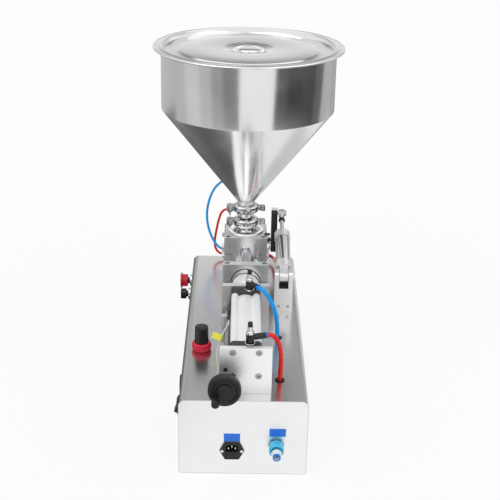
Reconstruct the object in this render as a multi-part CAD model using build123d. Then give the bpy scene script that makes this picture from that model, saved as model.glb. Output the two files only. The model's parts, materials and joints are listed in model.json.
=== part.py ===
"""Benchtop piston filling machine for pastes and thick liquids, with a hopper and a pneumatic drive.

A folded steel base carries an air cylinder that drives a dosing piston through a clamped tube. A rotary
valve block joins the tube to the hopper above it and to a shut-off nozzle over the front edge.
Millimetres. The origin is the centre of the base's underside, +Z is up, +Y points to the nozzle and +X
is the side of the valve actuator. A station is a distance from the base's rear face.
"""

import os
from math import atan2, cos, degrees, hypot, pi, radians, sin, tan

from build123d import *

# Base housing
BASE_W = 260.0
BASE_H = 171.0
FRONT_MARGIN = 46.0
SHEET_T = 1.5
TOP_BEND_R = 14.0
FOOT_BEND_R = 6.0
RETURN_W = 24.0
VENT_L = 36.0
VENT_W = 5.0
VENT_PITCH = 10.0
VENT_ROWS = 5

# Fits
RUNNING_FIT = 0.05
HOLE_CLEARANCE = 0.2

# Uprights and drive cylinder
PUMP_X = 3.0
PUMP_H = 66.0
PLATE_W = 105.0
PLATE_EDGE = 1.5
REAR_PLATE_STATION = 28.0
REAR_PLATE_T = 12.0
REAR_PLATE_H = 102.0
FRONT_PLATE_T = 14.0
FRONT_PLATE_H = 102.0
CAP_SIDE = 65.0
CAP_L = 28.0
CAP_CORNER_R = 9.0
BARREL_L = 226.0
BARREL_R = 28.5
BARREL_BORE_R = 25.0
LOBE_R = 8.0
LOBE_OFFSET = 23.5
DRIVE_PISTON_T = 20.0
DRIVE_PISTON_GAP = 4.0
DRIVE_ROD_R = 10.0
CAP_SCREW_SPACING = 52.0
SCREW_R = 4.0
SCREW_HEAD_R = 6.5
SCREW_HEAD_H = 8.0
SCREW_SOCKET_R = 3.6
SCREW_SOCKET_DEPTH = 4.5
SCREW_GRIP = 18.0
SCREW_SINK = 7.5

# Dosing tube and piston
ROD_GAP = 64.0
TUBE_BORE_R = 31.0
TUBE_WALL = 2.5
TUBE_STANDOFF = 20.0
TUBE_FREE_L = 142.0
TUBE_SOCKET = 8.0
CLAMP_T = 20.0
CLAMP_H = 110.0
CLAMP_GAP = 1.6
CLAMP_SCREW_SPACING = 86.0
CLAMP_SCREW_L = 78.0
DOSING_PISTON_T = 30.0
SEAL_W = 4.0
SEAL_DEPTH = 3.0
SEAL_INSET = 5.0
BOSS_R = 13.0
COUPLING_R = 17.0
COUPLING_L = 30.0
COUPLING_WAIST = 12.0
COUPLING_FLAT = 26.0
COUPLING_LEAD = 23.4

# Rotary valve
BLOCK_L = 80.0
BLOCK_CHAMFER = 3.0
SPOOL_R = 25.0
SPOOL_END_PLAY = 0.2
SPOOL_SHAFT_R = 10.0
SHAFT_OVERHANG = 3.0
PASSAGE_R = 13.75
GLAND_R = 33.0
GLAND_T = 6.0
LEVER_T = 15.0
LEVER_GAP = 4.5
LEVER_REACH = 88.0
LEVER_HUB_R = 15.0
LEVER_EYE_R = 10.0
EYE_BOLT_R = 4.0

# Ferrule joints, neck and hopper
NECK_R = 15.5
FERRULE_R = 25.25
FERRULE_T = 3.0
FLARE_R = 44.0
FLARE_T = 3.0
NECK_H = 22.0
NECK_PIPE_L = 36.0
RING_R = 31.0
RING_H = 18.0
RING_LIP_R = 20.6
RING_SPLIT = 2.0
LUG_END = 48.0
LUG_W = 18.0
LUG_H = 14.0
HINGE_AT = 41.0
HINGE_R = 6.5
HINGE_PIN_R = 3.0
TIE_AT = 40.0
TIE_R = 3.5
TIE_L = 40.0
WING_R = 7.0
WING_T = 4.0
WING_SPAN = 30.0
WING_H = 14.0
NOZZLE_WING_TURN = 45.0
HOPPER_R = 205.0
HOPPER_WALL = 1.5
HOPPER_WALL_H = 147.0
CONE_H = 238.0
OUTLET_R = 20.0
OUTLET_L = 17.0
RIM_R = 223.5
BEAD_R = 2.5

# Lid
LID_T = 1.2
LID_GAP = 2.0
LID_LIP_R = 211.0
LID_DEPTH = 11.0
LID_STEP = 4.0
LID_FIELD_R = 168.0
DISH_R = 60.0
DISH_DEPTH = 3.0
BOWL_R = 41.0
BOWL_DEPTH = 13.0
BOWL_DRAFT = 4.0
LID_BEND_R = 2.2
KNOB_R = 27.0
KNOB_T = 8.0
KNOB_CROWN = 2.5
KNOB_STEM_R = 7.0
KNOB_LIFT = 8.0

# Nozzle
OUTLET_STUB_L = 13.0
NOZZLE_REACH = 61.0
NOZZLE_BODY_R = 22.0
NOZZLE_BODY_RISE = 46.0
NOZZLE_BODY_DROP = 32.0
NOZZLE_BORE_R = 14.0
NOZZLE_BORE_RISE = 26.0
NOZZLE_TAPER_L = 15.0
NOZZLE_TIP_R = 12.0
NOZZLE_TIP_DROP = 87.0
NOZZLE_SEAT_R = 8.0
NOZZLE_SEAT_L = 10.0
NOZZLE_RELIEF_R = 10.0
NOZZLE_ROD_R = 4.0

# Small air cylinders of the nozzle and the valve
SMALL_TUBE_R = 17.5
SMALL_BORE_R = 16.0
SMALL_CAP_R = 19.0
SMALL_PISTON_T = 8.0
SMALL_PISTON_GAP = 1.5
NOZZLE_CAP_L = 16.0
NOZZLE_CYLINDER_L = 95.0
PORT_FLAT = 18.0

# Valve actuator
ACTUATOR_X = 91.0
BRACKET_LEAD = 238.0
BRACKET_L = 30.0
BRACKET_W = 42.0
BRACKET_H = 97.0
BRACKET_SLOT_W = 22.0
BRACKET_SLOT_DROP = 24.0
BRACKET_EAR_R = 6.0
PIVOT_H = 82.0
PIVOT_PIN_R = 4.0
PIN_OVERHANG = 6.0
TONGUE_W = 19.0
TONGUE_R = 12.0
REAR_CAP_AT = 24.0
REAR_CAP_L = 21.0
ACTUATOR_TUBE_L = 88.0
FRONT_CAP_L = 30.0
FRONT_CAP_NOSE_L = 10.0
FRONT_CAP_NOSE_R = 12.0
FRONT_CAP_BORE_L = 14.0
ACTUATOR_ROD_R = 5.0
ROD_EYE_R = 10.0
ROD_EYE_W = 14.0
ROD_NECK_R = 6.5
ROD_NECK_L = 24.0
ROD_NUT_R = 8.0
ROD_NUT_T = 7.0
BOLT_HEAD_R = 6.5
BOLT_HEAD_H = 5.0
OPEN_PIVOT_GAP = 0.3

# Fill-volume adjustment
SCREW_X = -38.0
SCREW_H = 33.0
LEAD_SCREW_R = 5.0
WHEEL_STATION = -14.0
WHEEL_R = 33.0
WHEEL_T = 20.0
WHEEL_EDGE_R = 4.0
WHEEL_DISH_R = 27.0
WHEEL_DISH_DEPTH = 4.0
WHEEL_HUB_R = 15.0
WHEEL_HUB_FRONT = 9.0
WHEEL_SOCKET = 14.0
HANDLE_OFFSET = 22.0
HANDLE_ANGLE = 219.0
HANDLE_R = 8.0
HANDLE_WAIST_R = 5.5
HANDLE_L = 28.0
HANDLE_END_T = 3.0
HANDLE_PIN_R = 3.0
HANDLE_GAP = 0.3
CARRIAGE_LEAD = 6.0
CARRIAGE_L = 14.0
CARRIAGE_W = 20.0
CARRIAGE_H = 20.0
SENSOR_W = 7.0
SENSOR_H = 6.0
SENSOR_L = 46.0
SENSOR_LEAD = 26.0
SIDE_GAP = 0.8

# Controls on the left side and on the table
REGULATOR_X = -91.0
REGULATOR_STATION = 215.0
REGULATOR_RING_R = 20.0
REGULATOR_RING_H = 18.0
REGULATOR_KNOB_R = 15.0
REGULATOR_KNOB_H = 37.0
REGULATOR_FLUTES = 20
REGULATOR_FLUTE_R = 1.0
REGULATOR_NECK_R = 9.0
REGULATOR_NECK_L = 6.0
REGULATOR_BODY_R = 16.0
REGULATOR_BODY_L = 60.0
GAUGE_STATION = 140.0
GAUGE_Z = 125.0
GAUGE_BEZEL_R = 22.0
GAUGE_BODY_R = 19.5
GAUGE_PROUD = 4.0
GAUGE_BODY_L = 26.0
GAUGE_DIAL_R = 18.0
GAUGE_DIAL_DEPTH = 5.0
GAUGE_LENS_T = 1.2
NEEDLE_L = 13.0
NEEDLE_W = 1.6
NEEDLE_T = 0.6
NEEDLE_RISE = 1.2
NEEDLE_HUB_R = 2.2
NEEDLE_PIN_R = 0.8
NEEDLE_PIN_L = 3.0
NEEDLE_REST_ANGLE = 225.0
ESTOP_LEAD = 44.0
SWITCH_PITCH = 80.0
SWITCH_Z = 120.0
SWITCH_STEM_R = 8.0
SWITCH_BUSH_R = 11.0
SWITCH_COLLAR_R = 15.0
SWITCH_COLLAR_L = 8.0
SWITCH_TRAVEL = 4.0
SWITCH_AIR = 1.0
SWITCH_DEPTH = 16.0
ESTOP_BODY_R = 16.0
ESTOP_RIM_R = 20.0
ESTOP_RIM_T = 6.0
ESTOP_CROWN = 2.5
ESTOP_HEAD_L = 20.0
ESTOP_SOCKET = 8.0
BUTTON_R = 13.0
BUTTON_L = 14.0
ROCKER_STATION = 30.0
ROCKER_Z = 142.0
BEZEL_W = 23.0
BEZEL_H = 33.0
BEZEL_T = 2.5
BEZEL_BODY_W = 21.0
BEZEL_BODY_H = 30.5
BEZEL_BODY_L = 20.0
ROCKER_R = 13.5
ROCKER_W = 18.0
ROCKER_PIVOT = 1.0
ROCKER_FACE = 3.5
ROCKER_BACK = 4.0
ROCKER_TILT = 12.0
ROCKER_ROOM = 0.4

# Sockets on the rear panel
INLET_X = -22.0
INLET_Z = 56.0
INLET_W = 50.0
INLET_TOP_W = 31.0
INLET_LOW_W = 28.0
INLET_H = 40.0
INLET_FLANGE_T = 3.0
INLET_BODY_W = 30.0
INLET_BODY_H = 36.0
INLET_BODY_L = 32.0
INLET_SCREW_SPACING = 40.0
INLET_SCREW_R = 1.5
INLET_SCREW_HEAD_R = 3.2
INLET_SCREW_HEAD_H = 1.6
INLET_SCREW_L = 8.0
SOCKET_W = 24.5
SOCKET_H = 16.5
SOCKET_CORNER = 4.0
SOCKET_DEPTH = 18.0
SOCKET_RISE = 6.0
INLET_PIN_W = 4.0
INLET_PIN_T = 2.0
INLET_PIN_L = 14.0
INLET_PIN_PITCH = 7.0
INLET_PIN_RISE = 4.0
FUSE_DRAWER_W = 24.0
FUSE_DRAWER_H = 8.0
FUSE_DRAWER_DROP = 12.5
FUSE_LINE = 0.6
AIR_VALVE_X = 67.0
AIR_VALVE_Z = 70.0
AIR_VALVE_NUT_R = 16.0
AIR_VALVE_NUT_T = 5.0
AIR_VALVE_CORE_R = 11.0
AIR_VALVE_NOSE_R = 8.0
AIR_VALVE_NOSE_L = 10.0
AIR_VALVE_COLLET_L = 4.0
AIR_VALVE_TAIL_L = 14.0
SLEEVE_R = 15.0
SLEEVE_L = 21.0
SLEEVE_TRAVEL = 7.0
AIR_PORT_R = 4.8
AIR_PORT_DEPTH = 18.0

# Air fittings
FLOW_X = 11.0
FLOW_BODY_R = 8.5
FLOW_BODY_H = 20.0
FLOW_WASHER_H = 3.0
FLOW_NECK_R = 5.5
FLOW_NECK_H = 16.5
FLOW_KNOB_R = 5.0
FLOW_KNOB_H = 9.0
FLOW_SPINDLE_R = 2.0
FLOW_SPINDLE_L = 8.0
FLOW_ARM_R = 6.5
FLOW_ARM_RISE = 15.5
NEAR_ARM_L = 31.5
NEAR_ARM_ANGLE = 17.0
FAR_ARM_L = 24.0
FAR_ARM_ANGLE = -44.0
GROMMET_R = 10.0
GROMMET_T = 1.6
GROMMET_BORE_R = 6.0
GROMMET_SLEEVE_R = 7.8
GROMMET_SLEEVE_L = 3.5
HOSE_HOLE_R = 8.0
HOSE_HOLE_X = 74.0
RED_HOLE_STATION = 84.5
BLUE_HOLE_STATION = 272.0
MANIFOLD_X = 74.0
MANIFOLD_STATION = 178.0
MANIFOLD_W = 36.0
MANIFOLD_L = 74.0
MANIFOLD_H = 84.0
MANIFOLD_PORT_Z = 72.0
MANIFOLD_PORT_R = 9.0
MANIFOLD_PORT_L = 10.0
ELBOW_R = 6.5
ELBOW_NUT_R = 9.0
ELBOW_NUT_H = 4.0
ELBOW_ARM_R = 5.5
ELBOW_ARM_L = 16.0
NOZZLE_ELBOW_X = -28.0
RED_ELBOW_LEAD = 34.0
RED_ELBOW_RISE = 11.0
BLUE_ELBOW_LEAD = 16.0
BLUE_ELBOW_RISE = 32.0
ACTUATOR_ELBOW_X = 30.0
ACTUATOR_ELBOW_LEAD = 24.0
ACTUATOR_ELBOW_RISE = 15.0
SIDE_FITTING_R = 5.5
SIDE_FITTING_L = 22.0
ACTUATOR_PORT_AT = 38.0
ACTUATOR_PORT_DROP = 30.0
GLAND_X = -56.0
GLAND_STATION = 24.0
CABLE_GLAND_R = 7.0
CABLE_GLAND_H = 9.0

# Hoses and the sensor cable
DRIVE_HOSE_R = 4.75
NOZZLE_HOSE_R = 3.0
ACTUATOR_HOSE_R = 4.0
CABLE_R = 2.0
TAG_L = 15.0
TAG_W = 20.0
TAG_T = 1.0
TAG_SLEEVE_R = 3.4
BEND_SHARE = 0.45

# Derived stations and heights
PUMP_Z = BASE_H + PUMP_H
PLATE_HALF = PLATE_W / 2
REAR_CAP_STATION = REAR_PLATE_STATION + REAR_PLATE_T
BARREL_STATION = REAR_CAP_STATION + CAP_L
FRONT_CAP_STATION = BARREL_STATION + BARREL_L
FRONT_PLATE_STATION = FRONT_CAP_STATION + CAP_L
TUBE_STATION = FRONT_PLATE_STATION + FRONT_PLATE_T + ROD_GAP
COUPLING_STATION = TUBE_STATION - COUPLING_LEAD - COUPLING_L
REAR_CLAMP_STATION = TUBE_STATION + TUBE_STANDOFF
FRONT_CLAMP_STATION = REAR_CLAMP_STATION + CLAMP_T + TUBE_FREE_L
BLOCK_STATION = FRONT_CLAMP_STATION + CLAMP_T
BLOCK_END_STATION = BLOCK_STATION + BLOCK_L
BASE_L = BLOCK_END_STATION + FRONT_MARGIN
VALVE_STATION = BLOCK_STATION + BLOCK_L / 2
OUTLET_JOINT_STATION = BLOCK_END_STATION + OUTLET_STUB_L
NOZZLE_STATION = OUTLET_JOINT_STATION + NOZZLE_REACH
RED_ELBOW_STATION = BLOCK_END_STATION + RED_ELBOW_LEAD
BLUE_ELBOW_STATION = BLOCK_END_STATION + BLUE_ELBOW_LEAD
ACTUATOR_ELBOW_STATION = BLOCK_END_STATION + ACTUATOR_ELBOW_LEAD
ESTOP_STATION = BASE_L - ESTOP_LEAD
BUTTON_STATION = ESTOP_STATION - SWITCH_PITCH
CARRIAGE_STATION = FRONT_CAP_STATION - CARRIAGE_LEAD
BRACKET_STATION = VALVE_STATION - BRACKET_LEAD
BLOCK_TOP_Z = BASE_H + CLAMP_H
LOWER_JOINT_Z = BLOCK_TOP_Z + NECK_H
UPPER_JOINT_Z = LOWER_JOINT_Z + NECK_PIPE_L
CONE_Z = UPPER_JOINT_Z + OUTLET_L
SEAM_Z = CONE_Z + CONE_H
RIM_Z = SEAM_Z + HOPPER_WALL_H
CAP_TOP_Z = PUMP_Z + CAP_SIDE / 2
TUBE_R = TUBE_BORE_R + TUBE_WALL
LEVER_X = PUMP_X + PLATE_HALF + GLAND_T + LEVER_GAP
LEVER_EYE_Z = PUMP_Z + LEVER_REACH
PIVOT_STATION = BRACKET_STATION + BRACKET_L / 2
PIVOT_Z = BASE_H + PIVOT_H
ACTUATOR_SPAN = hypot(VALVE_STATION - PIVOT_STATION, LEVER_EYE_Z - PIVOT_Z)
ACTUATOR_PITCH = atan2(LEVER_EYE_Z - PIVOT_Z, VALVE_STATION - PIVOT_STATION)
ACTUATOR_SPAN_OUT = hypot(VALVE_STATION + LEVER_REACH - PIVOT_STATION, PUMP_Z - PIVOT_Z)
ACTUATOR_PITCH_OUT = atan2(PUMP_Z - PIVOT_Z, VALVE_STATION + LEVER_REACH - PIVOT_STATION)
NOZZLE_TIP_Z = PUMP_Z - NOZZLE_TIP_DROP
NOZZLE_TOP_Z = PUMP_Z + NOZZLE_BODY_RISE
SIDE_X = -BASE_W / 2
SCREW_Z = BASE_H + SCREW_H
CARRIAGE_RIGHT_X = PUMP_X - CAP_SIDE / 2 - SIDE_GAP
SENSOR_Z = SCREW_Z + CARRIAGE_H / 2
SENSOR_STATION = CARRIAGE_STATION - SENSOR_LEAD
SWITCH_HEAD_AT = SWITCH_COLLAR_L + SWITCH_TRAVEL + SWITCH_AIR
AIR_VALVE_CORE_L = AIR_VALVE_NUT_T + HOLE_CLEARANCE + SLEEVE_L + SLEEVE_TRAVEL
MANIFOLD_REAR = MANIFOLD_STATION - MANIFOLD_L / 2 - MANIFOLD_PORT_L
MANIFOLD_FRONT = MANIFOLD_STATION + MANIFOLD_L / 2 + MANIFOLD_PORT_L

LOW = (Align.CENTER, Align.CENTER, Align.MIN)
CORNER = (Align.MIN, Align.MIN, Align.MIN)
PAIR = (-1, 1)


def y_at(station):
    """Y of a station."""
    return station - BASE_L / 2


def rod(radius, length):
    return Cylinder(radius, length, align=LOW)


def bush(outer, inner, length):
    """A washer or tube that stands on its own origin."""
    return rod(outer, length) - rod(inner, length)


def frustum(low_radius, high_radius, height):
    return Cone(low_radius, high_radius, height, align=LOW)


def slab(x, y, z):
    """A box between three pairs of limits."""
    return Pos(x[0], y[0], z[0]) * Box(x[1] - x[0], y[1] - y[0], z[1] - z[0], align=CORNER)


def forwards(station, x=PUMP_X, z=PUMP_Z):
    """A place whose own Z axis points along the machine to the nozzle, and own X to the right."""
    return Plane(origin=(x, y_at(station), z), x_dir=(1, 0, 0), z_dir=(0, 1, 0))


def backwards(x, z, station=0.0):
    """A place whose own Z axis points out of the rear panel, and own Y up."""
    return Plane(origin=(x, y_at(station), z), x_dir=(1, 0, 0), z_dir=(0, -1, 0))


def leftwards(station, z, x=SIDE_X):
    """A place whose own Z axis points out of the left side, and own Y up."""
    return Plane(origin=(x, y_at(station), z), x_dir=(0, -1, 0), z_dir=(-1, 0, 0))


def rightwards(x, station, z):
    """A place whose own Z axis points to the right, and own Y up."""
    return Plane(origin=(x, y_at(station), z), x_dir=(0, 1, 0), z_dir=(1, 0, 0))


def spun(outline):
    """A solid of revolution from an outline of radius and height points."""
    return revolve(Plane.XZ * make_face(Polyline(*outline, close=True)), Axis.Z)


def cap_screw(length):
    """A socket-head cap screw whose head stands on its own origin and whose shank goes down."""
    head = rod(SCREW_HEAD_R, SCREW_HEAD_H)
    socket = extrude(RegularPolygon(SCREW_SOCKET_R, 6), SCREW_SOCKET_DEPTH)
    head -= Pos(0, 0, SCREW_HEAD_H - SCREW_SOCKET_DEPTH) * socket
    return head + Pos(0, 0, -length) * rod(SCREW_R, length)


# The base


def housing_outline(inset):
    """The base's cross-section in X and Z, drawn in by an inset all round."""
    face = Pos(0, BASE_H / 2) * Rectangle(BASE_W - 2 * inset, BASE_H - 2 * inset)
    face = fillet(face.vertices().group_by(Axis.Y)[-1], TOP_BEND_R - inset)
    return fillet(face.vertices().group_by(Axis.Y)[0], FOOT_BEND_R - inset)


def base_cover():
    """One sheet, folded over the top and both sides, with a return under each long side."""
    section = housing_outline(0) - housing_outline(SHEET_T)
    section -= Pos(0, SHEET_T / 2) * Rectangle(BASE_W - 2 * RETURN_W, 2 * SHEET_T)
    shell = extrude(backwards(0, 0, BASE_L) * section, BASE_L)
    table_holes = [
        (HOSE_HOLE_X, RED_HOLE_STATION, HOSE_HOLE_R),
        (HOSE_HOLE_X, BLUE_HOLE_STATION, HOSE_HOLE_R),
        (REGULATOR_X, REGULATOR_STATION, REGULATOR_BODY_R + HOLE_CLEARANCE),
    ]
    for x, station, radius in table_holes:
        shell -= Pos(x, y_at(station), BASE_H - 2 * SHEET_T) * rod(radius, 3 * SHEET_T)
    side_holes = [
        (GAUGE_STATION, GAUGE_Z, GAUGE_BODY_R + HOLE_CLEARANCE),
        (ESTOP_STATION, SWITCH_Z, SWITCH_BUSH_R + HOLE_CLEARANCE),
        (BUTTON_STATION, SWITCH_Z, SWITCH_BUSH_R + HOLE_CLEARANCE),
    ]
    for station, z, radius in side_holes:
        shell -= leftwards(station, z, SIDE_X + 2 * SHEET_T) * rod(radius, 3 * SHEET_T)
    window = Box(BEZEL_BODY_W + 2 * HOLE_CLEARANCE, BEZEL_BODY_H + 2 * HOLE_CLEARANCE, 4 * SHEET_T)
    return shell - leftwards(ROCKER_STATION, ROCKER_Z) * window


def end_panels():
    """The flat plates that close the two ends, flush inside the folded cover."""
    plate = extrude(housing_outline(SHEET_T), SHEET_T)
    rear = backwards(0, 0, SHEET_T) * plate
    front = forwards(BASE_L, 0, 0) * Rot(0, 0, 180) * (Pos(0, 0, -SHEET_T) * plate)
    window = Box(INLET_BODY_W + 2 * HOLE_CLEARANCE, INLET_BODY_H + 2 * HOLE_CLEARANCE, 4 * SHEET_T)
    rear -= backwards(INLET_X, INLET_Z) * window
    drill = Pos(0, 0, -2 * SHEET_T) * rod(INLET_SCREW_R + HOLE_CLEARANCE, 4 * SHEET_T)
    for side in PAIR:
        rear -= backwards(INLET_X + side * INLET_SCREW_SPACING / 2, INLET_Z) * drill
    port = Pos(0, 0, -2 * SHEET_T) * rod(AIR_VALVE_CORE_R + HOLE_CLEARANCE, 4 * SHEET_T)
    rear -= backwards(AIR_VALVE_X, AIR_VALVE_Z) * port
    return [rear, front]


def bottom_plate():
    """The plate between the cover's two returns, with three sets of vent slots."""
    half = BASE_W / 2 - RETURN_W
    plate = slab((-half, half), (y_at(0), y_at(BASE_L)), (0, SHEET_T))
    slot = Pos(0, 0, -SHEET_T) * extrude(SlotOverall(VENT_L, VENT_W), 3 * SHEET_T)
    for share in (0.2, 0.5, 0.8):
        for row in range(VENT_ROWS):
            y = y_at(BASE_L * share) + (row - (VENT_ROWS - 1) / 2) * VENT_PITCH
            plate -= Pos(-half / 2, y, 0) * slot
    return plate


def valve_manifold():
    """The solenoid valve inside the base, with a hose port at each end."""
    y = y_at(MANIFOLD_STATION)
    half_w, half_l = MANIFOLD_W / 2, MANIFOLD_L / 2
    body = slab(
        (MANIFOLD_X - half_w, MANIFOLD_X + half_w),
        (y - half_l, y + half_l),
        (SHEET_T, SHEET_T + MANIFOLD_H),
    )
    body = chamfer(body.edges().filter_by(Axis.Z), 3)
    ports = rod(MANIFOLD_PORT_R, MANIFOLD_L + 2 * MANIFOLD_PORT_L)
    start = MANIFOLD_STATION - half_l - MANIFOLD_PORT_L
    return body + forwards(start, MANIFOLD_X, MANIFOLD_PORT_Z) * ports


# The uprights and the drive cylinder


def upright(station, thickness, height):
    """A flat plate that stands across the table on the pump's axis."""
    plate = slab(
        (PUMP_X - PLATE_HALF, PUMP_X + PLATE_HALF),
        (y_at(station), y_at(station) + thickness),
        (BASE_H, BASE_H + height),
    )
    return chamfer(plate.edges().filter_by(Axis.Y), PLATE_EDGE)


def rear_plate():
    plate = upright(REAR_PLATE_STATION, REAR_PLATE_T, REAR_PLATE_H)
    hole = rod(SCREW_R + HOLE_CLEARANCE, REAR_PLATE_T) + rod(SCREW_HEAD_R + HOLE_CLEARANCE, SCREW_SINK)
    for x in PAIR:
        for z in PAIR:
            place = forwards(
                REAR_PLATE_STATION, PUMP_X + x * CAP_SCREW_SPACING / 2, PUMP_Z + z * CAP_SCREW_SPACING / 2
            )
            plate -= place * hole
    bearing = rod(LEAD_SCREW_R + RUNNING_FIT, REAR_PLATE_T)
    return plate - forwards(REAR_PLATE_STATION, SCREW_X, SCREW_Z) * bearing


def cylinder_plate():
    plate = upright(FRONT_PLATE_STATION, FRONT_PLATE_T, FRONT_PLATE_H)
    plate -= forwards(FRONT_PLATE_STATION) * rod(DRIVE_ROD_R + RUNNING_FIT, FRONT_PLATE_T)
    bearing = rod(LEAD_SCREW_R + RUNNING_FIT, FRONT_PLATE_T)
    return plate - forwards(FRONT_PLATE_STATION, SCREW_X, SCREW_Z) * bearing


def cylinder_caps():
    """The square end caps of the drive cylinder. The rear one takes the four plate screws."""
    blank = extrude(RectangleRounded(CAP_SIDE, CAP_SIDE, CAP_CORNER_R), CAP_L)
    rear = forwards(REAR_CAP_STATION) * blank
    hole = rod(SCREW_R + HOLE_CLEARANCE, SCREW_GRIP + HOLE_CLEARANCE)
    for x in PAIR:
        for z in PAIR:
            place = forwards(
                REAR_CAP_STATION, PUMP_X + x * CAP_SCREW_SPACING / 2, PUMP_Z + z * CAP_SCREW_SPACING / 2
            )
            rear -= place * hole
    front = forwards(FRONT_CAP_STATION) * (blank - rod(DRIVE_ROD_R + RUNNING_FIT, CAP_L))
    return [rear, front]


def cylinder_barrel():
    """An extruded barrel with a round middle and a tie-rod lobe at each corner."""
    outline = Circle(BARREL_R)
    for x in PAIR:
        for z in PAIR:
            outline += Pos(x * LOBE_OFFSET, z * LOBE_OFFSET) * Circle(LOBE_R)
    return forwards(BARREL_STATION) * extrude(outline - Circle(BARREL_BORE_R), BARREL_L)


def drive_piston():
    station = BARREL_STATION + DRIVE_PISTON_GAP
    body = rod(BARREL_BORE_R - RUNNING_FIT, DRIVE_PISTON_T) - rod(DRIVE_ROD_R, DRIVE_PISTON_T)
    return forwards(station) * body


def drive_rod():
    start = BARREL_STATION + DRIVE_PISTON_GAP
    return forwards(start) * rod(DRIVE_ROD_R, COUPLING_STATION + COUPLING_L / 2 - start)


def rod_coupling():
    """The waisted coupling that joins the drive rod to the dosing piston's boss."""
    outline = [
        (0, 0),
        (COUPLING_R, 0),
        (COUPLING_R, COUPLING_L * 0.35),
        (COUPLING_WAIST, COUPLING_L * 0.45),
        (COUPLING_WAIST, COUPLING_L * 0.6),
        (COUPLING_R, COUPLING_L * 0.7),
        (COUPLING_R, COUPLING_L),
        (0, COUPLING_L),
    ]
    body = spun(outline) - rod(DRIVE_ROD_R, COUPLING_L / 2)
    for side in PAIR:
        body -= Pos(side * (COUPLING_FLAT / 2 + COUPLING_R / 2), 0, COUPLING_L / 6) * Box(
            COUPLING_R, 3 * COUPLING_R, COUPLING_L / 3
        )
    return forwards(COUPLING_STATION) * body


def material_piston():
    """The plastic dosing piston with its boss, and its two seals."""
    radius = TUBE_BORE_R - RUNNING_FIT
    boss_start = COUPLING_STATION + COUPLING_L
    body = forwards(TUBE_STATION) * rod(radius, DOSING_PISTON_T)
    body += forwards(boss_start) * rod(BOSS_R, TUBE_STATION - boss_start)
    seals = []
    for inset in (SEAL_INSET, DOSING_PISTON_T - SEAL_INSET - SEAL_W):
        place = forwards(TUBE_STATION + inset)
        groove = bush(radius + 1, radius - SEAL_DEPTH, SEAL_W)
        body -= place * groove
        seals.append(place * bush(radius + RUNNING_FIT / 2, radius - SEAL_DEPTH, SEAL_W))
    return [body, *seals]


def cap_screws():
    """Four screws hold the cylinder to the rear plate, and two close each tube clamp, with sunk heads."""
    screws = []
    seat = REAR_PLATE_STATION + SCREW_SINK
    for x in PAIR:
        for z in PAIR:
            place = backwards(PUMP_X + x * CAP_SCREW_SPACING / 2, PUMP_Z + z * CAP_SCREW_SPACING / 2, seat)
            screws.append(place * cap_screw(REAR_PLATE_T + SCREW_GRIP - SCREW_SINK))
    for station in (REAR_CLAMP_STATION, FRONT_CLAMP_STATION):
        for x in PAIR:
            x_place = PUMP_X + x * CLAMP_SCREW_SPACING / 2
            place = Pos(x_place, y_at(station) + CLAMP_T / 2, BLOCK_TOP_Z - SCREW_SINK)
            screws.append(place * cap_screw(CLAMP_SCREW_L - SCREW_SINK))
    return screws


# The tube clamps and the dosing tube


def clamp_block(station, low, high):
    """One half of a split clamp between two heights."""
    body = slab(
        (PUMP_X - PLATE_HALF, PUMP_X + PLATE_HALF),
        (y_at(station), y_at(station) + CLAMP_T),
        (low, high),
    )
    body = chamfer(body.edges().filter_by(Axis.Y), PLATE_EDGE)
    body -= forwards(station) * rod(TUBE_R + RUNNING_FIT, CLAMP_T)
    for x in PAIR:
        place = Pos(PUMP_X + x * CLAMP_SCREW_SPACING / 2, y_at(station) + CLAMP_T / 2, BLOCK_TOP_Z)
        hole_l = CLAMP_SCREW_L + HOLE_CLEARANCE
        body -= place * (Pos(0, 0, -hole_l) * rod(SCREW_R + HOLE_CLEARANCE, hole_l))
        body -= place * (Pos(0, 0, -SCREW_SINK) * rod(SCREW_HEAD_R + HOLE_CLEARANCE, SCREW_SINK))
    return body


def lower_clamps():
    top = PUMP_Z - CLAMP_GAP / 2
    return [clamp_block(s, BASE_H, top) for s in (REAR_CLAMP_STATION, FRONT_CLAMP_STATION)]


def upper_clamps():
    low = PUMP_Z + CLAMP_GAP / 2
    return [clamp_block(s, low, BLOCK_TOP_Z) for s in (REAR_CLAMP_STATION, FRONT_CLAMP_STATION)]


def material_tube():
    length = BLOCK_STATION + TUBE_SOCKET - TUBE_STATION
    body = bush(TUBE_R, TUBE_BORE_R, length)
    lead_in = frustum(TUBE_BORE_R + TUBE_WALL / 2, TUBE_BORE_R, TUBE_WALL)
    return forwards(TUBE_STATION) * (body - lead_in)


# The rotary valve


def valve_block():
    """The block that the tube, the hopper's neck and the nozzle open into."""
    body = slab(
        (PUMP_X - PLATE_HALF, PUMP_X + PLATE_HALF),
        (y_at(BLOCK_STATION), y_at(BLOCK_END_STATION)),
        (BASE_H, BLOCK_TOP_Z),
    )
    top = body.faces().sort_by(Axis.Z)[-1]
    body = chamfer(top.edges().filter_by(Axis.Y), BLOCK_CHAMFER)
    stub = rod(NECK_R, OUTLET_STUB_L) + Pos(0, 0, OUTLET_STUB_L - FERRULE_T) * rod(FERRULE_R, FERRULE_T)
    body += forwards(BLOCK_END_STATION) * stub
    body -= forwards(BLOCK_STATION) * rod(TUBE_R + RUNNING_FIT, TUBE_SOCKET)
    body -= forwards(BLOCK_STATION) * rod(PASSAGE_R, BLOCK_L + OUTLET_STUB_L)
    spool_bore = rod(SPOOL_R + RUNNING_FIT, PLATE_W)
    body -= rightwards(PUMP_X - PLATE_HALF, VALVE_STATION, PUMP_Z) * spool_bore
    return body - Pos(PUMP_X, y_at(VALVE_STATION), PUMP_Z) * rod(PASSAGE_R, CLAMP_H)


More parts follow.
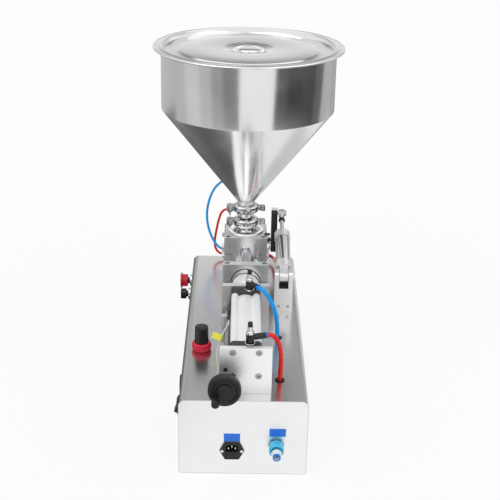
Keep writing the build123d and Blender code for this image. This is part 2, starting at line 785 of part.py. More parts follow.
def valve_spool():
    """The turning spool with its T-shaped passage and the shaft that carries the lever."""
    length = PLATE_W - SPOOL_END_PLAY
    left = PUMP_X - PLATE_HALF + SPOOL_END_PLAY / 2
    body = rightwards(left, VALVE_STATION, PUMP_Z) * rod(SPOOL_R, length)
    shaft_l = LEVER_X + LEVER_T + SHAFT_OVERHANG - left - length
    body += rightwards(left + length, VALVE_STATION, PUMP_Z) * rod(SPOOL_SHAFT_R, shaft_l)
    body -= forwards(VALVE_STATION - 2 * SPOOL_R) * rod(PASSAGE_R, 4 * SPOOL_R)
    drop = Pos(PUMP_X, y_at(VALVE_STATION), PUMP_Z - 2 * SPOOL_R)
    return body - drop * rod(PASSAGE_R, 2 * SPOOL_R)


def valve_glands():
    """The end plates that keep the spool in its block. The right one has the shaft's bearing."""
    left = rightwards(PUMP_X - PLATE_HALF - GLAND_T, VALVE_STATION, PUMP_Z) * rod(GLAND_R, GLAND_T)
    bearing = bush(GLAND_R, SPOOL_SHAFT_R + RUNNING_FIT, GLAND_T)
    return [left, rightwards(PUMP_X + PLATE_HALF, VALVE_STATION, PUMP_Z) * bearing]


def valve_lever():
    """A tapered arm, clamped on the spool's shaft, with the actuator's eye at its end."""
    circles = Circle(LEVER_HUB_R) + Pos(0, LEVER_REACH) * Circle(LEVER_EYE_R)
    outline = make_hull(circles.edges())
    outline -= Circle(SPOOL_SHAFT_R + RUNNING_FIT)
    outline -= Pos(0, LEVER_REACH) * Circle(EYE_BOLT_R + HOLE_CLEARANCE)
    outline -= Pos(0, -LEVER_HUB_R) * Rectangle(2, LEVER_HUB_R)
    return rightwards(LEVER_X, VALVE_STATION, PUMP_Z) * extrude(outline, LEVER_T)


# The neck, its clamps and the hopper


def over_valve(z):
    return Pos(PUMP_X, y_at(VALVE_STATION), z)


def feed_neck():
    """The flared neck on the valve block, with a ferrule on top."""
    flare = ThreePointArc(
        (FLARE_R, FLARE_T), (NECK_R + 9, FLARE_T + 3.5), (NECK_R, NECK_H - FERRULE_T - 3)
    )
    outline = Polyline(
        (NECK_R, NECK_H - FERRULE_T - 3),
        (NECK_R, NECK_H - FERRULE_T),
        (FERRULE_R, NECK_H - FERRULE_T),
        (FERRULE_R, NECK_H),
        (PASSAGE_R, NECK_H),
        (PASSAGE_R, 0),
        (FLARE_R, 0),
        (FLARE_R, FLARE_T),
    )
    return over_valve(BLOCK_TOP_Z) * revolve(Plane.XZ * make_face(outline + flare), Axis.Z)


def neck_pipe():
    """A short pipe with a ferrule at each end."""
    body = rod(NECK_R, NECK_PIPE_L) + rod(FERRULE_R, FERRULE_T)
    body += Pos(0, 0, NECK_PIPE_L - FERRULE_T) * rod(FERRULE_R, FERRULE_T)
    return over_valve(LOWER_JOINT_Z) * (body - rod(PASSAGE_R, NECK_PIPE_L))


def ferrule_clamp(wing_turn=0.0):
    """A hinged two-part clamp on its own origin, its hinge to the right and its tie bolt to the left."""
    half_h = RING_H / 2
    ring = Pos(0, 0, -half_h) * bush(RING_R, RING_LIP_R, RING_H)
    ring -= Pos(0, 0, -FERRULE_T) * rod(FERRULE_R + HOLE_CLEARANCE, 2 * FERRULE_T)
    ring = chamfer(ring.edges().filter_by(GeomType.CIRCLE).sort_by(SortBy.RADIUS)[-2:], 3)
    tie_lug = Pos(-(LUG_END + RING_R - 2) / 2, 0, 0) * Box(LUG_END - RING_R + 2, LUG_W, LUG_H)
    body = ring + tie_lug
    tie_hole = Plane(origin=(-TIE_AT, -LUG_W, 0), z_dir=(0, 1, 0)) * rod(TIE_R + HOLE_CLEARANCE, 2 * LUG_W)
    body -= tie_hole
    solids = []
    for side in PAIR:
        half = body & Pos(0, side * (LUG_END + RING_SPLIT / 2), 0) * Box(
            4 * LUG_END, 2 * LUG_END, 2 * RING_H
        )
        knuckle_h = LUG_H / 3 - HOLE_CLEARANCE
        levels = (0,) if side < 0 else (-LUG_H / 3, LUG_H / 3)
        for level in levels:
            web = Pos((RING_R + HINGE_AT) / 2 - 1, side * 3.5, level) * Box(HINGE_AT - RING_R + 4, 5, knuckle_h)
            knuckle = web + Pos(HINGE_AT, 0, level) * Cylinder(HINGE_R, knuckle_h)
            half += knuckle
        half -= Cylinder(RING_LIP_R, RING_H)
        half -= Pos(HINGE_AT, 0, 0) * Cylinder(HINGE_PIN_R + RUNNING_FIT, 2 * RING_H)
        solids.append(half)
    solids.append(Pos(HINGE_AT, 0, 0) * Cylinder(HINGE_PIN_R, LUG_H + 2))
    bolt_place = Plane(origin=(-TIE_AT, LUG_W / 2, 0), z_dir=(0, -1, 0))
    bolt = rod(TIE_R, TIE_L) + Pos(0, 0, -5) * rod(6, 5)
    solids.append(bolt_place * bolt)
    wings = Box(WING_T, WING_SPAN, WING_H / 2, align=LOW) + rod(WING_R, WING_H * 0.8)
    wings -= rod(TIE_R + RUNNING_FIT, WING_H)
    nut_place = Plane(origin=(-TIE_AT, -LUG_W / 2, 0), x_dir=(1, 0, 0), z_dir=(0, -1, 0))
    solids.append(nut_place * Rot(0, 0, wing_turn) * wings)
    return solids


def tri_clamps():
    """The clamps at the neck's two joints and at the nozzle's joint."""
    solids = []
    for z in (LOWER_JOINT_Z, UPPER_JOINT_Z):
        solids.extend(over_valve(z) * solid for solid in ferrule_clamp())
    outlet = forwards(OUTLET_JOINT_STATION).location * Rot(0, 0, 180)
    solids.extend(outlet * solid for solid in ferrule_clamp(NOZZLE_WING_TURN))
    return solids


def hopper():
    """A spun cone and cylinder of one sheet thickness, with a flat brim rolled at its edge."""
    cone_z, seam_z, rim_z = OUTLET_L, OUTLET_L + CONE_H, OUTLET_L + CONE_H + HOPPER_WALL_H
    inner_r = HOPPER_R - HOPPER_WALL
    bore_r = OUTLET_R - HOPPER_WALL
    brim_end = RIM_R - BEAD_R
    outline = [
        (PASSAGE_R, 0),
        (FERRULE_R, 0),
        (FERRULE_R, FERRULE_T),
        (OUTLET_R, FERRULE_T),
        (OUTLET_R, cone_z),
        (HOPPER_R, seam_z),
        (HOPPER_R, rim_z - HOPPER_WALL),
        (brim_end, rim_z - HOPPER_WALL),
        (brim_end, rim_z),
        (inner_r, rim_z),
        (inner_r, seam_z),
        (bore_r, cone_z),
        (bore_r, FERRULE_T),
    ]
    bead = Pos(0, 0, rim_z - BEAD_R) * Torus(brim_end, BEAD_R)
    return over_valve(UPPER_JOINT_Z) * (spun(outline) + bead)


def lid():
    """A pressed lid with a raised field, a dished middle and a bowl that holds the grip."""
    mid = LID_T / 2
    wall_r = HOPPER_R - HOPPER_WALL - LID_GAP
    field_z = LID_STEP - LID_DEPTH + mid
    bowl_z = field_z - DISH_DEPTH - BOWL_DEPTH
    path = FilletPolyline(
        (LID_LIP_R, mid),
        (wall_r, mid),
        (wall_r - 1, mid - LID_DEPTH),
        (LID_FIELD_R, mid - LID_DEPTH),
        (LID_FIELD_R - LID_STEP, field_z),
        (DISH_R, field_z),
        (DISH_R - 3 * DISH_DEPTH, field_z - DISH_DEPTH),
        (BOWL_R, field_z - DISH_DEPTH),
        (BOWL_R - BOWL_DRAFT, bowl_z),
        (-BOWL_R + BOWL_DRAFT, bowl_z),
        radius=LID_BEND_R,
    )
    sheet = make_face(path.offset_2d(LID_T / 2, side=Side.BOTH, closed=True))
    sheet &= Pos(RIM_R, 0) * Rectangle(2 * RIM_R, 4 * RIM_R)
    shell = revolve(Plane.XZ * sheet, Axis.Z)
    floor = bowl_z + mid
    grip = [
        (0, floor),
        (KNOB_STEM_R, floor),
        (KNOB_STEM_R, floor + KNOB_LIFT),
        (KNOB_R, floor + KNOB_LIFT),
        (KNOB_R, floor + KNOB_LIFT + KNOB_T - KNOB_CROWN),
        (KNOB_R * 0.8, floor + KNOB_LIFT + KNOB_T - KNOB_CROWN / 3),
        (0, floor + KNOB_LIFT + KNOB_T),
    ]
    return [over_valve(RIM_Z) * shell, over_valve(RIM_Z) * spun(grip)]


# The nozzle


def over_nozzle(z):
    return Pos(PUMP_X, y_at(NOZZLE_STATION), z)


def nozzle_body():
    """An upright tee whose foot narrows to the filling tip."""
    low = PUMP_Z - NOZZLE_BODY_DROP
    taper_z = low - NOZZLE_TAPER_L
    body = over_nozzle(low) * rod(NOZZLE_BODY_R, NOZZLE_TOP_Z - low)
    body += over_nozzle(taper_z) * frustum(NOZZLE_TIP_R, NOZZLE_BODY_R, NOZZLE_TAPER_L)
    body += over_nozzle(NOZZLE_TIP_Z) * rod(NOZZLE_TIP_R, taper_z - NOZZLE_TIP_Z)
    body += forwards(OUTLET_JOINT_STATION) * (rod(NECK_R, NOZZLE_REACH) + rod(FERRULE_R, FERRULE_T))
    body -= forwards(OUTLET_JOINT_STATION) * rod(PASSAGE_R, NOZZLE_REACH)
    body -= over_nozzle(low) * rod(NOZZLE_BORE_R, NOZZLE_BODY_DROP + NOZZLE_BORE_RISE)
    body -= over_nozzle(taper_z) * frustum(NOZZLE_RELIEF_R, NOZZLE_BORE_R, NOZZLE_TAPER_L)
    seat_top = NOZZLE_TIP_Z + NOZZLE_SEAT_L
    body -= over_nozzle(seat_top) * rod(NOZZLE_RELIEF_R, taper_z - seat_top)
    body -= over_nozzle(NOZZLE_TIP_Z) * rod(NOZZLE_SEAT_R, NOZZLE_SEAT_L)
    return body - over_nozzle(PUMP_Z) * rod(NOZZLE_ROD_R + RUNNING_FIT, NOZZLE_BODY_RISE)


def nozzle_cylinder():
    """The small upright air cylinder that lifts the nozzle's plug."""
    flat = Pos(-PORT_FLAT - SMALL_CAP_R, 0, 0) * Box(2 * SMALL_CAP_R, 4 * SMALL_CAP_R, 4 * NOZZLE_CAP_L)
    cap = rod(SMALL_CAP_R, NOZZLE_CAP_L) - flat
    low_cap = cap - rod(NOZZLE_ROD_R + RUNNING_FIT, NOZZLE_CAP_L)
    tube = bush(SMALL_TUBE_R, SMALL_BORE_R, NOZZLE_CYLINDER_L - 2 * NOZZLE_CAP_L)
    return [
        over_nozzle(NOZZLE_TOP_Z) * low_cap,
        over_nozzle(NOZZLE_TOP_Z + NOZZLE_CAP_L) * tube,
        over_nozzle(NOZZLE_TOP_Z + NOZZLE_CYLINDER_L - NOZZLE_CAP_L) * cap,
    ]


def nozzle_plug():
    """The plug that shuts the tip from inside, its long rod and its piston."""
    radius = NOZZLE_SEAT_R - RUNNING_FIT
    piston_z = NOZZLE_TOP_Z + NOZZLE_CAP_L + SMALL_PISTON_GAP
    body = over_nozzle(NOZZLE_TIP_Z) * rod(radius, NOZZLE_SEAT_L)
    body += over_nozzle(NOZZLE_TIP_Z + NOZZLE_SEAT_L) * frustum(radius, NOZZLE_ROD_R, NOZZLE_SEAT_L)
    body += over_nozzle(NOZZLE_TIP_Z) * rod(NOZZLE_ROD_R, piston_z - NOZZLE_TIP_Z)
    return body + over_nozzle(piston_z) * rod(SMALL_BORE_R - RUNNING_FIT, SMALL_PISTON_T)


# The valve actuator


def on_actuator(distance=0.0):
    """A place on the actuator's axis, whose own Z axis points to the rod and own Y down."""
    along = (0, cos(ACTUATOR_PITCH), sin(ACTUATOR_PITCH))
    origin = (
        ACTUATOR_X,
        y_at(PIVOT_STATION) + distance * along[1],
        PIVOT_Z + distance * along[2],
    )
    return Plane(origin=origin, x_dir=(1, 0, 0), z_dir=along)


def actuator_bracket():
    """A slotted pedestal, and the pin through its two ears."""
    half = BRACKET_W / 2
    body = slab(
        (ACTUATOR_X - half, ACTUATOR_X + half),
        (y_at(BRACKET_STATION), y_at(BRACKET_STATION) + BRACKET_L),
        (BASE_H, BASE_H + BRACKET_H),
    )
    top = body.edges().filter_by(Axis.X).group_by(Axis.Z)[-1]
    body = fillet(top, BRACKET_EAR_R)
    slot = slab(
        (ACTUATOR_X - BRACKET_SLOT_W / 2, ACTUATOR_X + BRACKET_SLOT_W / 2),
        (y_at(BRACKET_STATION), y_at(BRACKET_STATION) + BRACKET_L),
        (PIVOT_Z - BRACKET_SLOT_DROP, BASE_H + BRACKET_H),
    )
    body -= slot
    pin_l = BRACKET_W + PIN_OVERHANG
    place = rightwards(ACTUATOR_X - half, PIVOT_STATION, PIVOT_Z)
    body -= place * rod(PIVOT_PIN_R + RUNNING_FIT, pin_l)
    return [body, place * rod(PIVOT_PIN_R, pin_l)]


def actuator_cylinder():
    """The stainless cylinder: hinged rear cap, tube, front cap and the elbow under its rear port."""
    tongue = make_hull((Circle(TONGUE_R) + Pos(0, REAR_CAP_AT - 1) * Rectangle(2 * TONGUE_R, 2)).edges())
    tongue_solid = Plane(origin=(-TONGUE_W / 2, 0, 0), x_dir=(0, 1, 0), z_dir=(1, 0, 0)) * extrude(
        tongue, TONGUE_W
    )
    rear = tongue_solid + Pos(0, 0, REAR_CAP_AT) * rod(SMALL_CAP_R, REAR_CAP_L)
    pin_hole = Plane(origin=(-TONGUE_W, 0, 0), z_dir=(1, 0, 0)) * rod(PIVOT_PIN_R + RUNNING_FIT, 2 * TONGUE_W)
    flat = Pos(0, PORT_FLAT + SMALL_CAP_R, REAR_CAP_AT + REAR_CAP_L / 2) * Box(
        4 * SMALL_CAP_R, 2 * SMALL_CAP_R, 2 * REAR_CAP_L
    )
    rear = rear - pin_hole - flat
    tube_at = REAR_CAP_AT + REAR_CAP_L
    front_at = tube_at + ACTUATOR_TUBE_L
    barrel_l = FRONT_CAP_L - FRONT_CAP_NOSE_L
    front = rod(SMALL_CAP_R, barrel_l) + Pos(0, 0, barrel_l) * rod(FRONT_CAP_NOSE_R, FRONT_CAP_NOSE_L)
    front = front - rod(ACTUATOR_ROD_R + RUNNING_FIT, FRONT_CAP_L) - rod(SMALL_BORE_R, FRONT_CAP_BORE_L)
    drop = Plane(origin=(0, PORT_FLAT, ACTUATOR_PORT_AT), z_dir=(0, 1, 0))
    stem = on_actuator() * (drop * rod(SIDE_FITTING_R, ACTUATOR_PORT_DROP - PORT_FLAT))
    place = elbow_centre()
    knee = Pos(*place) * Sphere(ELBOW_R)
    arm = Plane(origin=place, x_dir=(1, 0, 0), z_dir=(0, 1, 0)) * rod(SIDE_FITTING_R, ELBOW_ARM_L)
    return [
        on_actuator() * rear,
        on_actuator(tube_at) * bush(SMALL_TUBE_R, SMALL_BORE_R, ACTUATOR_TUBE_L),
        on_actuator(front_at) * front,
        stem + knee + arm,
    ]


def elbow_centre():
    """The middle of the elbow under the actuator's rear cap."""
    y = PIVOT_STATION + ACTUATOR_PORT_AT * cos(ACTUATOR_PITCH) + ACTUATOR_PORT_DROP * sin(ACTUATOR_PITCH)
    z = PIVOT_Z + ACTUATOR_PORT_AT * sin(ACTUATOR_PITCH) - ACTUATOR_PORT_DROP * cos(ACTUATOR_PITCH)
    return (ACTUATOR_X, y_at(y), z)


def actuator_rod():
    start = REAR_CAP_AT + REAR_CAP_L + SMALL_PISTON_GAP
    end = ACTUATOR_SPAN - ROD_NECK_L / 2
    body = on_actuator(start) * rod(SMALL_BORE_R - RUNNING_FIT, SMALL_PISTON_T)
    return body + on_actuator(start) * rod(ACTUATOR_ROD_R, end - start)


def rod_eye():
    """The eye screwed on the rod, its lock nut, and the bolt that goes to the lever."""
    neck_at = ACTUATOR_SPAN - ROD_NECK_L
    neck = on_actuator(neck_at) * rod(ROD_NECK_R, ROD_NECK_L - ROD_EYE_R / 2)
    left = ACTUATOR_X - ROD_EYE_W / 2
    eye = rightwards(left, VALVE_STATION, LEVER_EYE_Z) * rod(ROD_EYE_R, ROD_EYE_W)
    socket = on_actuator(neck_at) * rod(ACTUATOR_ROD_R, ROD_NECK_L / 2)
    bolt_start = LEVER_X + LEVER_T + OPEN_PIVOT_GAP
    bolt_l = ACTUATOR_X + ROD_EYE_W / 2 - bolt_start
    bolt = rod(EYE_BOLT_R, bolt_l) + Pos(0, 0, bolt_l) * extrude(RegularPolygon(BOLT_HEAD_R, 6), BOLT_HEAD_H)
    place = rightwards(bolt_start, VALVE_STATION, LEVER_EYE_Z)
    body = neck + eye - socket - place * rod(EYE_BOLT_R, bolt_l)
    nut_hole = rod(ACTUATOR_ROD_R, ROD_NUT_T)
    nut = on_actuator(neck_at - ROD_NUT_T) * (extrude(RegularPolygon(ROD_NUT_R, 6), ROD_NUT_T) - nut_hole)
    return [body, place * bolt, nut]


# The fill-volume adjustment


def on_wheel():
    return backwards(SCREW_X, SCREW_Z, WHEEL_STATION)


def handwheel():
    """A thick moulded wheel, dished round its hub, with a boss and the pin of its turning handle."""
    half = WHEEL_T / 2
    body = Pos(0, 0, -half) * rod(WHEEL_R, WHEEL_T)
    body = fillet(body.edges().filter_by(GeomType.CIRCLE), WHEEL_EDGE_R)
    floor = half - WHEEL_DISH_DEPTH
    body -= Pos(0, 0, floor) * frustum(WHEEL_DISH_R - WHEEL_DISH_DEPTH, WHEEL_DISH_R, WHEEL_DISH_DEPTH)
    body += rod(WHEEL_HUB_R, WHEEL_HUB_FRONT)
    body += handle_place(0) * rod(HANDLE_WAIST_R, half)
    body += handle_place(0) * rod(HANDLE_PIN_R, half + HANDLE_GAP + HANDLE_L - HANDLE_END_T)
    return on_wheel() * (body - Pos(0, 0, -half) * rod(LEAD_SCREW_R, WHEEL_SOCKET))


def handle_place(rise):
    """A place on the wheel's face where the handle stands."""
    angle = radians(HANDLE_ANGLE)
    return Pos(HANDLE_OFFSET * cos(angle), HANDLE_OFFSET * sin(angle), rise)


def wheel_handle():
    """The turning grip on the handwheel."""
    bore_r = HANDLE_PIN_R + RUNNING_FIT
    bore_end = HANDLE_L - HANDLE_END_T
    grip = [
        (bore_r, 0),
        (HANDLE_WAIST_R, 0),
        (HANDLE_WAIST_R, 2),
        (HANDLE_R, bore_end / 3),
        (HANDLE_R, bore_end),
        (HANDLE_R * 0.85, HANDLE_L - 0.8),
        (HANDLE_R * 0.5, HANDLE_L),
        (0, HANDLE_L),
        (0, bore_end + HANDLE_GAP),
        (bore_r, bore_end + HANDLE_GAP),
    ]
    return on_wheel() * (handle_place(WHEEL_T / 2 + HANDLE_GAP) * spun(grip))


def lead_screw():
    start = WHEEL_STATION + WHEEL_T / 2 - WHEEL_SOCKET
    length = FRONT_PLATE_STATION + FRONT_PLATE_T - start
    return forwards(start, SCREW_X, SCREW_Z) * rod(LEAD_SCREW_R, length)


def sensor_carriage():
    """The nut block that the lead screw moves beside the barrel."""
    body = slab(
        (CARRIAGE_RIGHT_X - CARRIAGE_W, CARRIAGE_RIGHT_X),
        (y_at(CARRIAGE_STATION), y_at(CARRIAGE_STATION) + CARRIAGE_L),
        (SCREW_Z - CARRIAGE_H / 2, SCREW_Z + CARRIAGE_H / 2),
    )
    bore = rod(LEAD_SCREW_R + RUNNING_FIT, CARRIAGE_L)
    return body - forwards(CARRIAGE_STATION, SCREW_X, SCREW_Z) * bore


def reed_sensor():
    """The stroke sensor on the carriage."""
    body = slab(
        (CARRIAGE_RIGHT_X - SENSOR_W, CARRIAGE_RIGHT_X),
        (y_at(SENSOR_STATION), y_at(SENSOR_STATION) + SENSOR_L),
        (SENSOR_Z, SENSOR_Z + SENSOR_H),
    )
    return chamfer(body.edges().filter_by(Axis.Y).group_by(Axis.Z)[-1], 1.5)


# The controls


def regulator_body():
    """The air regulator under the table, and its locking ring on top."""
    place = Pos(REGULATOR_X, y_at(REGULATOR_STATION), BASE_H)
    ring_solid = rod(REGULATOR_RING_R, REGULATOR_RING_H)
    ring_solid = chamfer(ring_solid.edges().filter_by(GeomType.CIRCLE), 2)
    body = ring_solid + Pos(0, 0, -REGULATOR_BODY_L) * rod(REGULATOR_BODY_R, REGULATOR_BODY_L)
    socket = Pos(0, 0, REGULATOR_RING_H - REGULATOR_NECK_L) * rod(
        REGULATOR_NECK_R + RUNNING_FIT, REGULATOR_NECK_L
    )
    return place * (body - socket)


def regulator_knob():
    """A fluted knob that turns in the ring."""
    place = Pos(REGULATOR_X, y_at(REGULATOR_STATION), BASE_H + REGULATOR_RING_H)
    body = frustum(REGULATOR_KNOB_R, REGULATOR_KNOB_R - 0.8, REGULATOR_KNOB_H)
    body = fillet(body.edges().filter_by(GeomType.CIRCLE).group_by(Axis.Z)[-1], 2.5)
    flute_l = REGULATOR_KNOB_H * 0.7
    for i in range(REGULATOR_FLUTES):
        turn = Rot(0, 0, 360 * i / REGULATOR_FLUTES)
        body -= turn * (Pos(REGULATOR_KNOB_R + 0.3, 0, 4) * rod(REGULATOR_FLUTE_R, flute_l))
    play = HOLE_CLEARANCE
    neck = Pos(0, 0, play - REGULATOR_NECK_L) * rod(REGULATOR_NECK_R, REGULATOR_NECK_L)
    return place * (Pos(0, 0, play) * body + neck)


def gauge_case():
    """A round panel gauge with its dial sunk behind a flat lens."""
    front = leftwards(GAUGE_STATION, GAUGE_Z)
    body = rod(GAUGE_BEZEL_R, GAUGE_PROUD) + Pos(0, 0, -GAUGE_BODY_L) * rod(GAUGE_BODY_R, GAUGE_BODY_L)
    body = chamfer(body.edges().filter_by(GeomType.CIRCLE).group_by(Axis.Z)[-1], 1)
    body -= Pos(0, 0, GAUGE_PROUD - GAUGE_DIAL_DEPTH) * rod(GAUGE_DIAL_R, GAUGE_DIAL_DEPTH)
    pin_hole = rod(NEEDLE_PIN_R + RUNNING_FIT, NEEDLE_PIN_L)
    body -= Pos(0, 0, GAUGE_PROUD - GAUGE_DIAL_DEPTH - NEEDLE_PIN_L) * pin_hole
    lens = Pos(0, 0, GAUGE_PROUD - GAUGE_LENS_T - 0.5) * rod(GAUGE_DIAL_R, GAUGE_LENS_T)
    return [front * body, front * lens]


def gauge_needle():
    dial_z = GAUGE_PROUD - GAUGE_DIAL_DEPTH
    blade = Pos(NEEDLE_L / 2 - 2, 0, dial_z + NEEDLE_RISE) * Box(NEEDLE_L + 4, NEEDLE_W, NEEDLE_T, align=LOW)
    hub = Pos(0, 0, dial_z + NEEDLE_RISE / 2) * rod(NEEDLE_HUB_R, NEEDLE_RISE + NEEDLE_T / 2)
    pin = Pos(0, 0, dial_z + NEEDLE_RISE - NEEDLE_PIN_L) * rod(NEEDLE_PIN_R, NEEDLE_PIN_L)
    return leftwards(GAUGE_STATION, GAUGE_Z) * (Rot(0, 0, NEEDLE_REST_ANGLE) * (blade + hub + pin))


def switch_bush():
    """A collar outside the panel, and the threaded bush behind it."""
    body = rod(SWITCH_COLLAR_R, SWITCH_COLLAR_L) + Pos(0, 0, -SWITCH_DEPTH) * rod(SWITCH_BUSH_R, SWITCH_DEPTH)
    bore_l = SWITCH_COLLAR_L + SWITCH_DEPTH
    return body - Pos(0, 0, -SWITCH_DEPTH) * rod(SWITCH_STEM_R + RUNNING_FIT, bore_l)


def rocker_bezel():
    """The rocker switch's frame, and the open box behind it."""
    body = Box(BEZEL_W, BEZEL_H, BEZEL_T, align=LOW)
    body += Pos(0, 0, -BEZEL_BODY_L) * Box(BEZEL_BODY_W, BEZEL_BODY_H, BEZEL_BODY_L, align=LOW)
    room = Box(ROCKER_W + 2 * ROCKER_ROOM, 2 * (ROCKER_R + ROCKER_ROOM), BEZEL_BODY_L, align=LOW)
    return body - Pos(0, 0, BEZEL_T - BEZEL_BODY_L) * room


def switch_collars():
    return [
        leftwards(ESTOP_STATION, SWITCH_Z) * switch_bush(),
        leftwards(BUTTON_STATION, SWITCH_Z) * switch_bush(),
        leftwards(ROCKER_STATION, ROCKER_Z) * rocker_bezel(),
    ]


def estop_stem():
    low = -SWITCH_DEPTH
    length = SWITCH_HEAD_AT + ESTOP_SOCKET - low
    return leftwards(ESTOP_STATION, SWITCH_Z) * (Pos(0, 0, low) * rod(SWITCH_STEM_R, length))


def estop_head():
    """The mushroom head, which twists on its stem to release."""
    rim_at = ESTOP_HEAD_L - ESTOP_RIM_T
    outline = [
        (SWITCH_STEM_R + RUNNING_FIT, 0),
        (ESTOP_BODY_R - 1, 0),
        (ESTOP_BODY_R, 1),
        (ESTOP_BODY_R, rim_at - 1),
        (ESTOP_RIM_R, rim_at),
        (ESTOP_RIM_R, ESTOP_HEAD_L - ESTOP_CROWN),
        (ESTOP_RIM_R * 0.8, ESTOP_HEAD_L - ESTOP_CROWN / 3),
        (0, ESTOP_HEAD_L),
        (0, ESTOP_SOCKET),
        (SWITCH_STEM_R + RUNNING_FIT, ESTOP_SOCKET),
    ]
    return leftwards(ESTOP_STATION, SWITCH_Z) * (Pos(0, 0, SWITCH_HEAD_AT) * spun(outline))


def button_cap():
    """The start button and its stem."""
    cap = Pos(0, 0, SWITCH_HEAD_AT) * rod(BUTTON_R, BUTTON_L)
    cap = fillet(cap.edges().filter_by(GeomType.CIRCLE).group_by(Axis.Z)[-1], 1.5)
    stem = Pos(0, 0, -SWITCH_DEPTH) * rod(SWITCH_STEM_R, SWITCH_DEPTH + SWITCH_HEAD_AT)
    return leftwards(BUTTON_STATION, SWITCH_Z) * (cap + stem)


def rocker():
    """The power switch's paddle, with its two faces meeting in a shallow valley."""
    rise = ROCKER_R * tan(radians(ROCKER_TILT))
    outline = Polyline(
        (-ROCKER_R, -ROCKER_BACK),
        (-ROCKER_R, ROCKER_FACE + rise),
        (0, ROCKER_FACE),
        (ROCKER_R, ROCKER_FACE + rise),
        (ROCKER_R, -ROCKER_BACK),
        close=True,
    )
    section = make_face(outline) & Circle(ROCKER_R)
    side = Plane(origin=(-ROCKER_W / 2, 0, 0), x_dir=(0, 1, 0), z_dir=(1, 0, 0))
    paddle = extrude(side * section, ROCKER_W)
    place = leftwards(ROCKER_STATION, ROCKER_Z) * Pos(0, 0, ROCKER_PIVOT)
    return place * (Rot(-ROCKER_TILT, 0, 0) * paddle)


# The sockets on the rear panel


def power_inlet():
    """A mains inlet with a fuse drawer, its three pins and its two screws."""
    half_h = INLET_H / 2
    flange = Polyline(
        (-INLET_TOP_W / 2, half_h),
        (INLET_TOP_W / 2, half_h),
        (INLET_W / 2, 0),
        (INLET_LOW_W / 2, -half_h),
        (-INLET_LOW_W / 2, -half_h),
        (-INLET_W / 2, 0),
        close=True,
    )
    body = extrude(make_face(flange), INLET_FLANGE_T)
    body += Pos(0, 0, -INLET_BODY_L) * Box(INLET_BODY_W, INLET_BODY_H, INLET_BODY_L, align=LOW)
    mouth = Rectangle(SOCKET_W, SOCKET_H)
    mouth = chamfer(mouth.vertices().group_by(Axis.Y)[-1], SOCKET_CORNER)
    floor_z = INLET_FLANGE_T - SOCKET_DEPTH
    body -= Pos(0, SOCKET_RISE, floor_z) * extrude(mouth, SOCKET_DEPTH)
    line = Box(FUSE_DRAWER_W + FUSE_LINE, FUSE_DRAWER_H + FUSE_LINE, 1, align=LOW)
    line -= Box(FUSE_DRAWER_W - FUSE_LINE, FUSE_DRAWER_H - FUSE_LINE, 1, align=LOW)
    body -= Pos(0, -FUSE_DRAWER_DROP, INLET_FLANGE_T - 1) * line
    place = backwards(INLET_X, INLET_Z)
    solids = []
    hole_l = INLET_FLANGE_T + INLET_BODY_L
    for side in PAIR:
        spot = Pos(side * INLET_SCREW_SPACING / 2, 0, 0)
        body -= spot * (Pos(0, 0, -INLET_BODY_L) * rod(INLET_SCREW_R + HOLE_CLEARANCE, hole_l))
        screw = Pos(0, 0, INLET_FLANGE_T) * rod(INLET_SCREW_HEAD_R, INLET_SCREW_HEAD_H)
        screw += Pos(0, 0, INLET_FLANGE_T - INLET_SCREW_L) * rod(INLET_SCREW_R, INLET_SCREW_L)
        solids.append(place * (spot * screw))
    pin = Box(INLET_PIN_T, INLET_PIN_W, INLET_PIN_L, align=LOW)
    spots = [(-INLET_PIN_PITCH, 0), (0, INLET_PIN_RISE), (INLET_PIN_PITCH, 0)]
    for x, y in spots:
        solids.append(place * (Pos(x, SOCKET_RISE - 2 + y, floor_z) * pin))
    return [place * body, *solids]


def air_valve_body():
    """The hand slide valve's core, from the panel out to the hose socket."""
    outline = [
        (0, -AIR_VALVE_TAIL_L),
        (AIR_VALVE_CORE_R, -AIR_VALVE_TAIL_L),
        (AIR_VALVE_CORE_R, AIR_VALVE_CORE_L),
        (AIR_VALVE_NOSE_R, AIR_VALVE_CORE_L + AIR_VALVE_NOSE_L),
        (AIR_VALVE_NOSE_R, AIR_VALVE_CORE_L + AIR_VALVE_NOSE_L + AIR_VALVE_COLLET_L),
        (0, AIR_VALVE_CORE_L + AIR_VALVE_NOSE_L + AIR_VALVE_COLLET_L),
    ]
    body = spun(outline) + extrude(RegularPolygon(AIR_VALVE_NUT_R, 6), AIR_VALVE_NUT_T)
    end = AIR_VALVE_CORE_L + AIR_VALVE_NOSE_L + AIR_VALVE_COLLET_L
    body -= Pos(0, 0, end - AIR_PORT_DEPTH) * rod(AIR_PORT_R, AIR_PORT_DEPTH)
    return backwards(AIR_VALVE_X, AIR_VALVE_Z) * body


def air_valve_sleeve():
    """The sleeve that slides along the core to open or vent the supply."""
    body = rod(SLEEVE_R, SLEEVE_L)
    body = chamfer(body.edges().filter_by(GeomType.CIRCLE), 1.5)
    body -= rod(AIR_VALVE_CORE_R + RUNNING_FIT, SLEEVE_L)
    return backwards(AIR_VALVE_X, AIR_VALVE_Z) * (Pos(0, 0, AIR_VALVE_NUT_T + HOLE_CLEARANCE) * body)


# The air fittings


def flow_station(far):
    """The station of a drive cylinder port, which is the middle of its cap."""
    return (FRONT_CAP_STATION if far else REAR_CAP_STATION) + CAP_L / 2


